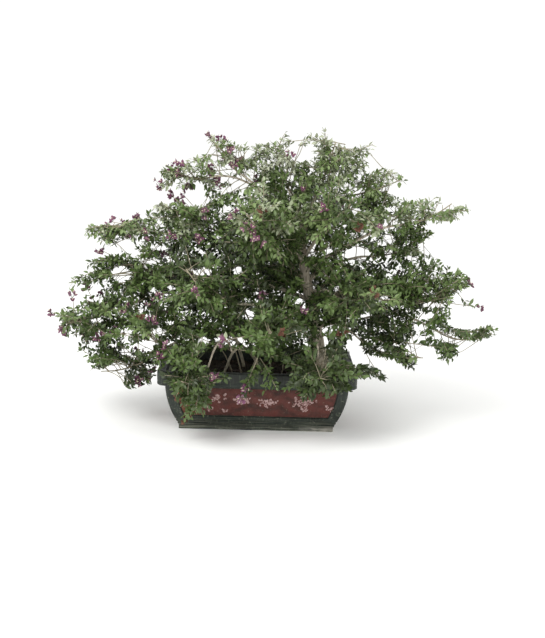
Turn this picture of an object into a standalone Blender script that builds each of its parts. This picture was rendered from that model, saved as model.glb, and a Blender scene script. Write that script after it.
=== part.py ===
"""Bougainvillea bonsai in a rectangular glazed pot, in metres, with +Z up.

The origin is the middle of the pot's flat underside. +X runs along the pot's long side, and the
tree's front faces -Y. The pot is lofted from rounded rectangles. The trunk, the stems and the
boughs are tapering limbs, each clear of the limb that it leaves by a hair. Each mass of foliage
grows by a seeded rule from the tip of its limb and keeps to a space of its own.
"""

import math
import random
from collections import namedtuple

import bmesh
import bpy
import numpy as np
from mathutils import Matrix, Vector
from mathutils.bvhtree import BVHTree

TREE = "bougainvillea_bonsai"

# The hair of space between two pieces that touch.
CLEARANCE = 0.0003

# Points of one mesh that lie nearer than this become one.
WELD = 0.000001

# Faces that meet at less than this many degrees are shaded as one surface.
SMOOTH_BELOW = 35

# The pot: half sizes of the rim, then how the body narrows below it.
RIM_HALF_X = 0.390
RIM_HALF_Y = 0.225
POT_HEIGHT = 0.250
RIM_DEPTH = 0.055
RIM_OVERHANG = 0.030
RIM_WIDTH = 0.034
RIM_ROUNDING = 0.004
CORNER_RADIUS = 0.032
CORNER_STEPS = 3
BODY_INSET_AT_FOOT = 0.052
PLINTH_HEIGHT = 0.015
WALL = 0.024
FLOOR = 0.028

# The moulding round the pot's foot: shallow grooves, one above the other.
GROOVE_HEIGHTS = (0.016, 0.029, 0.042)
GROOVE_HALF_HEIGHT = 0.0035
GROOVE_DEPTH = 0.003

# The sunk panel on each side of the pot.
PANEL_BOTTOM = 0.060
PANEL_TOP = 0.186
PANEL_DEPTH = 0.005
PANEL_END_MARGIN = 0.030
PANEL_STEPS = 3
CUTTER_REACH = 0.05

SOIL_TOP = 0.207

# The trunk: where it leaves the soil, where it forks, and how it tapers and flares.
TRUNK_FOOT = Vector((0.250, 0.020, SOIL_TOP + CLEARANCE))
TRUNK_FORK = Vector((0.162, 0.000, 0.800))
TRUNK_BOW = 0.010
TRUNK_RADIUS_LOW = 0.029
TRUNK_RADIUS_HIGH = 0.0140
TRUNK_SIDES = 12
TRUNK_RINGS = 12
RING_CROWDING = 1.6
FLARE = 0.022
FLARE_HEIGHT = 0.035
FLARE_LOBES = 5
LOBE_SHARE = 0.28

# The other limbs.
LIMB_POINTS = 6
STEM_UPRIGHT = 0.014
STEM_TIP_SHARE = 0.62
STEM_BENDS_AT = 0.35
STEM_ARCH = 0.25
BOUGH_TIP_RADIUS = 0.0036
FORK_SHARE = 0.78
LIMB_WOBBLE = 0.022
ENTRY_SHARE = 0.88
ENTRY_ROOM = 0.006

# Leaves and papery bracts are larger than life, as far as the crown would look thin. Each faces
# partly out of its mass and partly up, and is tried at several turns until one fits.
LEAF_SIZE = Vector((0.066, 0.0050, 0.120))
BRACT_SIZE = Vector((0.056, 0.046, 0.070))
LEAF_WIDEST_AT = 0.42
LEAF_SUNK = 0.0015
LEAF_SIZE_SPREAD = 0.14
LEAF_DRAW_BACK = 0.012
LEAF_DROOP = -0.12
LEAF_FORWARD = (0.4, 0.8)
FACES_OUT = 0.7
FACES_UP = 0.5
FACING_SPREAD = 0.45
TURN_SPREAD = 0.3
TURN_SPREAD_PER_TRY = 0.2
TIP_SPREAD = 0.25
TIP_SPREAD_PER_TRY = 0.06
STEM_LEAVES = (0.70, 1.0)
TWIG_LEAVES = (0.36, 0.70, 1.0)
LOOK_BACK = 0.1

# The twigs that carry them: three-sided, and sharing out the space of their mass.
TWIG_RADIUS_LOW = 0.0052
TWIG_RADIUS_HIGH = 0.0040
STEM_POINTS = 3
TWIG_DRAW_BACK = 0.04
TIP_LEAF_SHARE = 0.62
MOST_LEAF_ROOM = 0.92
SHORTEST_TWIG = 0.022
STEM_REACH = 0.60
STEM_COLLAR = 0.010
STEM_CURVE = 0.45
AIM_SPREAD = 0.25
FIRST_FORK = 0.36
LAST_FORK = 1.0
SPACE_MARGIN = 0.0006
LIMB_MARGIN = 0.0010
LOWEST_LEAF = 0.030
POT_MARGIN = 0.010
GOLDEN_ANGLE = math.pi * (3 - math.sqrt(5))
TRIES = 24

# Where along a twig's segment and along a leaf its nearness to other things is tried.
TUBE_SAMPLES = (0.0, 0.34, 0.67)
LEAF_SAMPLES = (0.25, 0.5, 0.75)
WIDTH_SAMPLES = (0.2, 0.45, 0.7, 1.0)

Mass = namedtuple("Mass", "name limb along rise radius centre half twigs bracts")
Stem = namedtuple("Stem", "name foot mass radius rise")
Limb = namedtuple("Limb", "points radii")

# Each mass of foliage: the limb that its bough leaves and how far along it, how far that bough
# arches above a straight line, its radius there, the middle and the half sizes of the mass, its
# count of side twigs, and the share of them that end in bracts.
MASSES = (
    Mass("top_centre", "trunk", 0.985, rise=0.02, radius=0.009,
         centre=(0.07, 0.05, 1.05), half=(0.14, 0.15, 0.13), twigs=5, bracts=0.1),
    Mass("top_right", "trunk", 0.91, rise=0.03, radius=0.009,
         centre=(0.26, 0.00, 1.07), half=(0.14, 0.15, 0.12), twigs=5, bracts=0.0),
    Mass("top_left", "trunk", 0.82, rise=0.05, radius=0.009,
         centre=(-0.15, -0.03, 1.08), half=(0.15, 0.14, 0.10), twigs=5, bracts=0.3),
    Mass("top_left_spray", "bough_top_left", 0.7, rise=0.02, radius=0.006,
         centre=(-0.31, 0.06, 1.00), half=(0.16, 0.14, 0.11), twigs=5, bracts=0.4),
    Mass("upper_right", "bough_top_right", 0.45, rise=0.01, radius=0.007,
         centre=(0.47, 0.05, 0.97), half=(0.17, 0.17, 0.13), twigs=5, bracts=0.0),
    Mass("upper_right_front", "trunk", 0.775, rise=0.02, radius=0.008,
         centre=(0.30, -0.20, 0.88), half=(0.18, 0.16, 0.13), twigs=5, bracts=0.1),
    Mass("centre_front", "trunk", 0.74, rise=0.03, radius=0.008,
         centre=(0.00, -0.22, 0.83), half=(0.18, 0.16, 0.15), twigs=6, bracts=0.2),
    Mass("upper_left", "trunk", 0.66, rise=0.02, radius=0.009,
         centre=(-0.26, 0.02, 0.82), half=(0.19, 0.19, 0.13), twigs=5, bracts=0.2),
    Mass("left_spray", "bough_upper_left", 0.55, rise=0.00, radius=0.006,
         centre=(-0.55, 0.00, 0.78), half=(0.19, 0.15, 0.10), twigs=5, bracts=0.4),
    Mass("right_spray", "trunk", 0.7, rise=0.03, radius=0.008,
         centre=(0.66, -0.02, 0.87), half=(0.20, 0.15, 0.10), twigs=5, bracts=0.0),
    Mass("right_middle", "trunk", 0.62, rise=0.03, radius=0.008,
         centre=(0.57, 0.08, 0.73), half=(0.18, 0.18, 0.10), twigs=5, bracts=0.0),
    Mass("right_outer", "trunk", 0.45, rise=0.05, radius=0.009,
         centre=(0.67, -0.02, 0.54), half=(0.22, 0.18, 0.12), twigs=6, bracts=0.1),
    Mass("right_centre_front", "trunk", 0.54, rise=0.02, radius=0.008,
         centre=(0.38, -0.22, 0.57), half=(0.18, 0.16, 0.14), twigs=5, bracts=0.0),
    Mass("right_low", "trunk", 0.3, rise=0.04, radius=0.008,
         centre=(0.56, -0.05, 0.33), half=(0.19, 0.19, 0.13), twigs=5, bracts=0.0),
    Mass("far_right_low", "bough_right_low", 0.6, rise=0.06, radius=0.006,
         centre=(0.84, -0.02, 0.38), half=(0.17, 0.15, 0.11), twigs=5, bracts=0.1),
    Mass("left_middle", "trunk", 0.5, rise=0.03, radius=0.009,
         centre=(-0.47, 0.02, 0.61), half=(0.20, 0.19, 0.12), twigs=5, bracts=0.3),
    Mass("far_left", "bough_left_middle", 0.55, rise=0.02, radius=0.006,
         centre=(-0.68, -0.02, 0.42), half=(0.17, 0.17, 0.13), twigs=6, bracts=0.5),
    Mass("back_upper", "trunk", 0.87, rise=0.02, radius=0.008,
         centre=(0.13, 0.30, 0.90), half=(0.24, 0.17, 0.15), twigs=5, bracts=0.1),
    Mass("back_centre", "trunk", 0.58, rise=0.03, radius=0.008,
         centre=(0.00, 0.38, 0.62), half=(0.22, 0.19, 0.16), twigs=5, bracts=0.1),
    Mass("back_right", "trunk", 0.4, rise=0.03, radius=0.008,
         centre=(0.40, 0.34, 0.50), half=(0.22, 0.19, 0.15), twigs=6, bracts=0.1),
    Mass("left_low", "stem_leaning_left", 1.0, rise=0.04, radius=0.006,
         centre=(-0.41, -0.18, 0.40), half=(0.18, 0.16, 0.13), twigs=5, bracts=0.3),
    Mass("left_bottom", "stem_leaning_left", 0.45, rise=0.06, radius=0.005,
         centre=(-0.56, 0.02, 0.22), half=(0.16, 0.16, 0.12), twigs=5, bracts=0.5),
    Mass("front_centre", "stem_leaning_right", 1.0, rise=0.04, radius=0.006,
         centre=(0.01, -0.31, 0.42), half=(0.16, 0.14, 0.15), twigs=5, bracts=0.1),
    Mass("front_left_drape", "stem_leaning_right", 0.5, rise=0.08, radius=0.005,
         centre=(-0.25, -0.35, 0.27), half=(0.16, 0.12, 0.15), twigs=5, bracts=0.1),
    Mass("centre_left_front", "stem_right", 1.0, rise=0.05, radius=0.008,
         centre=(-0.20, -0.25, 0.61), half=(0.20, 0.17, 0.14), twigs=6, bracts=0.2),
    Mass("front_right_drape", "stem_right", 0.4, rise=0.05, radius=0.005,
         centre=(0.24, -0.35, 0.30), half=(0.17, 0.13, 0.14), twigs=5, bracts=0.1),
    Mass("back_left", "stem_behind", 1.0, rise=0.04, radius=0.007,
         centre=(-0.36, 0.34, 0.55), half=(0.22, 0.18, 0.16), twigs=6, bracts=0.2),
    Mass("back_low", "stem_behind", 0.5, rise=0.06, radius=0.005,
         centre=(0.04, 0.40, 0.33), half=(0.24, 0.16, 0.13), twigs=5, bracts=0.1),
)

# The thinner stems beside the trunk: where each leaves the soil, its radius there and how far it
# arches. Each ends at the mass that names it with the whole of its length.
STEMS = (
    Stem("stem_right", (0.312, -0.070), "centre_left_front", 0.0085, 0.05),
    Stem("stem_leaning_left", (0.010, -0.030), "left_low", 0.0060, 0.10),
    Stem("stem_leaning_right", (-0.130, -0.080), "front_centre", 0.0060, 0.04),
    Stem("stem_behind", (-0.060, 0.080), "back_left", 0.0070, 0.10),
)


def clear_scene():
    for obj in list(bpy.data.objects):
        bpy.data.objects.remove(obj)


def new_collection(name, hidden=False):
    collection = bpy.data.collections.new(name)
    collection.hide_render = hidden
    bpy.context.scene.collection.children.link(collection)
    return collection


def new_material(name, colour, roughness):
    material = bpy.data.materials.new(name)
    material.use_nodes = True
    shader = material.node_tree.nodes["Principled BSDF"]
    shader.inputs["Base Color"].default_value = (*colour, 1.0)
    shader.inputs["Roughness"].default_value = roughness
    shader.inputs["Metallic"].default_value = 0.0
    return material


def object_from(name, mesh, collection, material=None):
    obj = bpy.data.objects.new(name, mesh)
    collection.objects.link(obj)
    if material:
        mesh.materials.append(material)
    return obj


def mesh_from(name, bm):
    bmesh.ops.recalc_face_normals(bm, faces=bm.faces)
    mesh = bpy.data.meshes.new(name)
    bm.to_mesh(mesh)
    bm.free()
    return mesh


def loft(name, rings):
    """A closed mesh through rings of equal counts of points, with a flat cap at each end."""
    bm = bmesh.new()
    loops = [[bm.verts.new(point) for point in ring] for ring in rings]
    for lower, upper in zip(loops, loops[1:]):
        for i in range(len(lower)):
            following = (i + 1) % len(lower)
            bm.faces.new((lower[i], lower[following], upper[following], upper[i]))
    bm.faces.new(loops[0])
    bm.faces.new(loops[-1])
    return mesh_from(name, bm)


def shade_smooth_by_angle(mesh):
    mesh.shade_smooth()
    mesh.set_sharp_from_angle(angle=math.radians(SMOOTH_BELOW))


def rounded_rectangle(half_x, half_y, radius, height):
    """One ring of the pot: a rectangle with round corners, at one height."""
    points = []
    for corner in range(4):
        start = corner * math.pi / 2
        middle_x = math.copysign(half_x - radius, math.cos(start + math.pi / 4))
        middle_y = math.copysign(half_y - radius, math.sin(start + math.pi / 4))
        for step in range(CORNER_STEPS + 1):
            angle = start + step / CORNER_STEPS * math.pi / 2
            x = middle_x + radius * math.cos(angle)
            y = middle_y + radius * math.sin(angle)
            points.append((x, y, height))
    return points


def pot_ring(inset, height):
    """A ring of the pot that lies this far inside the rim's outer edge."""
    radius = max(CORNER_RADIUS - inset / 2, RIM_ROUNDING)
    return rounded_rectangle(RIM_HALF_X - inset, RIM_HALF_Y - inset, radius, height)


def body_inset(height):
    """How far the pot's body lies inside the rim's edge: it swells from foot to rim in a bow."""
    top = POT_HEIGHT - RIM_DEPTH
    share = min(max((height - PLINTH_HEIGHT) / (top - PLINTH_HEIGHT), 0.0), 1.0)
    return RIM_OVERHANG + BODY_INSET_AT_FOOT * (1 - math.sin(share * math.pi / 2))


def pot_body():
    """The pot's outside from foot to rim, then down its inside to the floor."""
    rings = [pot_ring(body_inset(0.0), 0.0)]
    for middle in GROOVE_HEIGHTS:
        for side in (-1, 0, 1):
            height = middle + side * GROOVE_HALF_HEIGHT
            depth = 0.0 if side else GROOVE_DEPTH
            rings.append(pot_ring(body_inset(height) + depth, height))
    for step in range(1, PANEL_STEPS + 1):
        height = PANEL_BOTTOM + (POT_HEIGHT - RIM_DEPTH - PANEL_BOTTOM) * step / PANEL_STEPS
        rings.append(pot_ring(body_inset(height), height))
    under_rim = POT_HEIGHT - RIM_DEPTH
    rings.append(pot_ring(RIM_ROUNDING, under_rim + RIM_ROUNDING / 2))
    rings.append(pot_ring(0.0, under_rim + 2 * RIM_ROUNDING))
    rings.append(pot_ring(0.0, POT_HEIGHT - RIM_ROUNDING))
    rings.append(pot_ring(RIM_ROUNDING, POT_HEIGHT))
    rings.append(pot_ring(RIM_WIDTH - RIM_ROUNDING, POT_HEIGHT))
    rings.append(pot_ring(RIM_WIDTH, POT_HEIGHT - RIM_ROUNDING))
    rings.extend(pot_ring(inset, height) for inset, height in cavity_steps(0.0, SOIL_TOP))
    return loft("pot", rings)


def cavity_steps(gap, top):
    """(inset, height) pairs down the inside of the pot from this height, this far clear of it."""
    share_down = (1.0, 0.5, 0.0)
    for share in share_down:
        height = FLOOR + gap + (top - FLOOR - gap) * share
        yield body_inset(height) + WALL + gap, height


def panel_cutter(name, half_length, across_x, side):
    """A bar whose inner face follows the pot's bow, a little way inside its surface."""
    half_depth = RIM_HALF_X if across_x else RIM_HALF_Y
    step = (PANEL_TOP - PANEL_BOTTOM) / PANEL_STEPS
    heights = [PANEL_BOTTOM + step * i for i in range(PANEL_STEPS + 1)]
    inner = [(half_depth - body_inset(z) - PANEL_DEPTH, z) for z in heights]
    outer = half_depth + CUTTER_REACH
    outline = [*inner, (outer, PANEL_TOP), (outer, PANEL_BOTTOM)]
    bm = bmesh.new()
    if across_x:
        verts = [bm.verts.new((side * depth, -half_length, z)) for depth, z in outline]
        length = Vector((0, 2 * half_length, 0))
    else:
        verts = [bm.verts.new((-half_length, side * depth, z)) for depth, z in outline]
        length = Vector((2 * half_length, 0, 0))
    face = bm.faces.new(verts)
    extruded = bmesh.ops.extrude_face_region(bm, geom=[face])["geom"]
    moved = [item for item in extruded if isinstance(item, bmesh.types.BMVert)]
    bmesh.ops.translate(bm, verts=moved, vec=length)
    return mesh_from(name, bm)


def make_pot(parts, cutters, glaze):
    pot = object_from("pot", pot_body(), parts, glaze)
    foot_inset = body_inset(PANEL_BOTTOM)
    for across_x, half_side in ((False, RIM_HALF_X), (True, RIM_HALF_Y)):
        half_length = half_side - foot_inset - PANEL_END_MARGIN
        for side in (-1, 1):
            name = f"panel_{'x' if across_x else 'y'}_{'near' if side < 0 else 'far'}"
            cutter = object_from(name, panel_cutter(name, half_length, across_x, side), cutters)
            cutter.hide_render = True
            cutter.display_type = "WIRE"
            cut = pot.modifiers.new(name, "BOOLEAN")
            cut.operation = "DIFFERENCE"
            cut.solver = "EXACT"
            cut.object = cutter
    shade_smooth_by_angle(pot.data)


def make_soil(parts, earth):
    rings = [pot_ring(inset, height) for inset, height in cavity_steps(CLEARANCE, SOIL_TOP)]
    object_from("soil", loft("soil", rings), parts, earth)


def trunk_middle(share):
    """The trunk's axis: it leans from foot to fork, with one slow bow."""
    straight = TRUNK_FOOT.lerp(TRUNK_FORK, share)
    return straight + Vector((TRUNK_BOW * math.sin(2 * math.pi * share), 0, 0))


def trunk_radius(share):
    rise = (TRUNK_FORK.z - TRUNK_FOOT.z) * share
    taper = TRUNK_RADIUS_LOW + (TRUNK_RADIUS_HIGH - TRUNK_RADIUS_LOW) * share
    return taper + FLARE * math.exp(-rise / FLARE_HEIGHT)


def trunk_mesh(name, extra):
    """Level rings up the trunk: round above, and lobed by the surface roots at its foot."""
    rings = []
    for ring in range(TRUNK_RINGS + 1):
        share = (ring / TRUNK_RINGS) ** RING_CROWDING
        middle = trunk_middle(share)
        radius = trunk_radius(share)
        lobe = LOBE_SHARE * FLARE * math.exp(-(middle.z - TRUNK_FOOT.z) / FLARE_HEIGHT)
        points = []
        for side in range(TRUNK_SIDES):
            angle = 2 * math.pi * side / TRUNK_SIDES
            out = radius + extra + lobe * math.cos(FLARE_LOBES * angle)
            points.append(middle + Vector((out * math.cos(angle), out * math.sin(angle), 0)))
        rings.append(points)
    return loft(name, rings)


def trunk_limb():
    shares = [i / TRUNK_RINGS for i in range(TRUNK_RINGS + 1)]
    return Limb([trunk_middle(s) for s in shares], [trunk_radius(s) for s in shares])


def point_along(points, share):
    """The point this share of the way through a route's points."""
    place = share * (len(points) - 1)
    first = min(int(place), len(points) - 2)
    return points[first].lerp(points[first + 1], place - first)


def radius_along(limb, share):
    return float(np.interp(share * (len(limb.radii) - 1), range(len(limb.radii)), limb.radii))


def bend(start, control, end, count):
    """Points on a bow from start to end that leaves towards the control point."""
    shares = [i / (count - 1) for i in range(count)]
    return [start * (1 - s) ** 2 + control * 2 * s * (1 - s) + end * s * s for s in shares]


def random_direction(rng):
    return Vector((rng.gauss(0, 1), rng.gauss(0, 1), rng.gauss(0, 1))).normalized()


def taper(low, high, count):
    return [low + (high - low) * i / (count - 1) for i in range(count)]


def entry_point(mass, outside):
    """Where a limb from this point ends, a little way inside the mass's own space."""
    space = Space(mass, MASSES)
    inwards = space.edge(space.unit(outside).normalized(), ENTRY_ROOM) - space.centre
    return space.centre + inwards * ENTRY_SHARE


def wobbled(points, rng):
    """The same route with its inner points moved a little, as a limb grows."""
    amount = LIMB_WOBBLE * (points[-1] - points[0]).length
    inner = [point + random_direction(rng) * amount * rng.random() for point in points[1:-1]]
    return [points[0], *inner, points[-1]]


def route_limbs():
    """Every limb's axis and radii by name, each one after the limb that it leaves."""
    rng = random.Random(TREE)
    masses = {mass.name: mass for mass in MASSES}
    limbs = {"trunk": trunk_limb()}
    for stem in STEMS:
        foot = Vector((*stem.foot, SOIL_TOP + CLEARANCE))
        upright = foot + Vector((0, 0, STEM_UPRIGHT))
        end = entry_point(masses[stem.mass], upright)
        arch = stem.rise + STEM_ARCH * (end - upright).length
        control = upright.lerp(end, STEM_BENDS_AT) + Vector((0, 0, arch))
        points = [foot, *wobbled(bend(upright, control, end, LIMB_POINTS + 1), rng)]
        limbs[stem.name] = Limb(points, taper(stem.radius, stem.radius * STEM_TIP_SHARE, len(points)))
    for mass in MASSES:
        if mass.along == 1.0:
            continue
        parent = limbs[mass.limb]
        start = point_along(parent.points, mass.along)
        radius = min(mass.radius, FORK_SHARE * radius_along(parent, mass.along))
        end = entry_point(mass, start)
        # A bow rises half as high as its control point.
        control = (start + end) / 2 + Vector((0, 0, mass.rise * 2))
        points = wobbled(bend(start, control, end, LIMB_POINTS), rng)
        radii = taper(radius, min(BOUGH_TIP_RADIUS, radius), len(points))
        limbs[f"bough_{mass.name}"] = Limb(points, radii)
    return limbs


def three_sided_profile(collection):
    """A triangle of unit radius that a twig's curve carries along its length."""
    curve = bpy.data.curves.new("three_sided_profile", "CURVE")
    spline = curve.splines.new("POLY")
    spline.points.add(2)
    for corner, point in enumerate(spline.points):
        angle = 2 * math.pi * corner / 3
        point.co = (math.cos(angle), math.sin(angle), 0, 1)
    spline.use_cyclic_u = True
    profile = bpy.data.objects.new("three_sided_profile", curve)
    profile.hide_render = True
    collection.objects.link(profile)
    return profile


def tube_meshes(routes, collection, profile=None):
    """A closed tapering tube for each (points, radii), round unless a profile is given."""
    curves = []
    for points, radii in routes:
        curve = bpy.data.curves.new("route", "CURVE")
        curve.dimensions = "3D"
        curve.use_fill_caps = True
        if profile:
            curve.bevel_mode = "OBJECT"
            curve.bevel_object = profile
        else:
            curve.bevel_depth = 1.0
            curve.bevel_resolution = 1
        spline = curve.splines.new("POLY")
        spline.points.add(len(points) - 1)
        for spot, point, radius in zip(spline.points, points, radii):
            spot.co = (*point, 1)
            spot.radius = radius
        obj = bpy.data.objects.new("route", curve)
        collection.objects.link(obj)
        curves.append(obj)
    bpy.context.view_layer.update()
    graph = bpy.context.evaluated_depsgraph_get()
    meshes = [welded(bpy.data.meshes.new_from_object(obj.evaluated_get(graph))) for obj in curves]
    for obj in curves:
        bpy.data.curves.remove(obj.data)
    return meshes


def welded(mesh):
    """The mesh with a curve's loose caps joined to its sides, facing out."""
    bm = bmesh.new()
    bm.from_mesh(mesh)
    bmesh.ops.remove_doubles(bm, verts=bm.verts, dist=WELD)
    bmesh.ops.recalc_face_normals(bm, faces=bm.faces)
    bm.to_mesh(mesh)
    bm.free()
    return mesh


def make_limbs(limbs, parts, cutters, bark):
    """The trunk, then every stem and bough, each bough cut clear of the limb that it leaves."""
    trunk = object_from("trunk", trunk_mesh("trunk", 0.0), parts, bark)
    shade_smooth_by_angle(trunk.data)
    names = [name for name in limbs if name != "trunk"]
    routes = [(limbs[name].points, limbs[name].radii) for name in names]
    sleeves = {"trunk": trunk_mesh("trunk_sleeve", CLEARANCE)}
    wider = [(points, [radius + CLEARANCE for radius in radii]) for points, radii in routes]
    for name, mesh in zip(names, tube_meshes(wider, cutters)):
        sleeves[name] = mesh
    leaves_limb = {f"bough_{mass.name}": mass.limb for mass in MASSES}
    for name, mesh in zip(names, tube_meshes(routes, parts)):
        limb = object_from(name, mesh, parts, bark)
        shade_smooth_by_angle(mesh)
        if name not in leaves_limb:
            continue
        sleeve = object_from(f"sleeve_{name}", sleeves[leaves_limb[name]], cutters)
        sleeve.hide_render = True
        sleeve.display_type = "WIRE"
        cut = limb.modifiers.new("clear_of_parent", "BOOLEAN")
        cut.operation = "DIFFERENCE"
        cut.solver = "EXACT"
        cut.object = sleeve


class Space:
    """The room of one mass: an egg, cut flat towards each neighbour, outside the pot."""

    def __init__(self, mass, others):
        self.centre = Vector(mass.centre)
        self.half = mass.half
        self.walls = []
        for other in others:
            if other is mass:
                continue
            apart = Vector(other.centre) - self.centre
            distance = apart.length
            towards = apart / distance
            mine = egg_reach(mass, towards)
            theirs = egg_reach(other, towards)
            if mine + theirs > distance - 2 * SPACE_MARGIN:
                wall = (distance**2 + mine**2 - theirs**2) / (2 * distance)
                self.walls.append((towards, wall - SPACE_MARGIN))

    def unit(self, point):
        away = point - self.centre
        return Vector((away[axis] / self.half[axis] for axis in range(3)))

    def holds(self, point, room=0.0):
        if self.unit(point).length > 1 - room / min(self.half):
            return False
        if point.z < LOWEST_LEAF + room:
            return False
        if inside_pot(point, room):
            return False
        return all((point - self.centre).dot(towards) <= wall - room for towards, wall in self.walls)

    def edge(self, direction, room=0.0):
        """The furthest point of the space this way from its middle, before the pot is thought of."""
        out = Vector((direction[axis] * self.half[axis] for axis in range(3)))
        share = 1 - room / min(self.half)
        for towards, wall in self.walls:
            rise = out.dot(towards)
            if rise > 0:
                share = min(share, (wall - room) / rise)
        return self.centre + out * share


def egg_reach(mass, towards):
    return math.sqrt(sum((mass.half[axis] * towards[axis]) ** 2 for axis in range(3)))


def inside_pot(point, room):
    edge = POT_MARGIN + room
    inside = abs(point.x) < RIM_HALF_X + edge and abs(point.y) < RIM_HALF_Y + edge
    return inside and point.z < POT_HEIGHT + edge


class Sticks:
    """The segments of limbs or twigs, to tell how near a twig or a leaf comes to one."""

    def __init__(self, limbs):
        starts, ends, radii = [], [], []
        for points, widths in limbs:
            for i in range(len(points) - 1):
                starts.append(points[i])
                ends.append(points[i + 1])
                radii.append(max(widths[i], widths[i + 1]))
        self.starts = np.array(starts).reshape(-1, 3)
        self.along = np.array(ends).reshape(-1, 3) - self.starts
        self.lengths = (self.along**2).sum(axis=1)
        self.radii = np.array(radii)

    def clear_of(self, points, room):
        """True where each point is at least its room from every segment's surface."""
        away = np.array(points)[:, None, :] - self.starts[None, :, :]
        share = np.clip((away * self.along).sum(axis=2) / self.lengths, 0.0, 1.0)
        nearest = away - share[..., None] * self.along
        distance = np.sqrt((nearest**2).sum(axis=2)) - self.radii
        return bool((distance > np.array(room)[:, None] + LIMB_MARGIN).all())


def tube_fits(space, sticks, points, radii):
    samples, rooms = [], []
    for i in range(len(points) - 1):
        for share in TUBE_SAMPLES:
            samples.append(points[i].lerp(points[i + 1], share))
            rooms.append(max(radii[i], radii[i + 1]))
    samples.append(points[-1])
    rooms.append(radii[-1])
    return all(space.holds(*pair) for pair in zip(samples, rooms)) and sticks.clear_of(samples, rooms)


# The corners of a leaf of unit length, width and thickness: root, tip, two sides, two faces.
UNIT_LEAF = (
    Vector((0, 0, 0)),
    Vector((0, 0, 1)),
    Vector((-0.5, 0, LEAF_WIDEST_AT)),
    Vector((0.5, 0, LEAF_WIDEST_AT)),
    Vector((0, -0.5, LEAF_WIDEST_AT)),
    Vector((0, 0.5, LEAF_WIDEST_AT)),
)
LEAF_FACES = [(end, side, face) for end in (0, 1) for side in (2, 3) for face in (4, 5)]


def unit_leaf():
    """A leaf of eight faces with its root at the origin and its tip at a unit of height."""
    bm = bmesh.new()
    bmesh.ops.create_uvsphere(bm, u_segments=4, v_segments=2, radius=0.5)
    for vert in bm.verts:
        vert.co.z = LEAF_WIDEST_AT if abs(vert.co.z) < 0.25 else vert.co.z + 0.5
    return mesh_from("leaf", bm)


def leaf_matrix(root, axis, facing, size):
    """Places the unit leaf: its root here, its length along the axis, its face this way."""
    along = axis.normalized()
    across = facing.cross(along).normalized()
    normal = along.cross(across)
    turn = Matrix((across * size[0], normal * size[1], along * size[2])).transposed().to_4x4()
    return Matrix.Translation(root - along * LEAF_SUNK) @ turn


def width_share(share):
    """How wide a leaf is this share of the way to its tip, against its widest."""
    return min(share / LEAF_WIDEST_AT, (1 - share) / (1 - LEAF_WIDEST_AT))


def leaf_fits(space, sticks, others, corners):
    """True where a leaf keeps to its space, and clear of limbs, other twigs and other leaves."""
    if not all(space.holds(corner) for corner in corners):
        return False
    root, tip = corners[0], corners[1]
    if not all(space.holds(root.lerp(tip, share)) for share in LEAF_SAMPLES):
        return False
    half_width = (corners[2] - corners[3]).length / 2
    samples = [root.lerp(tip, share) for share in WIDTH_SAMPLES]
    rooms = [half_width * width_share(share) for share in WIDTH_SAMPLES]
    if not sticks.clear_of(samples, rooms):
        return False
    tree = BVHTree.FromPolygons(corners, LEAF_FACES)
    return not any(tree.overlap(other) for other in others)


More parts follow.
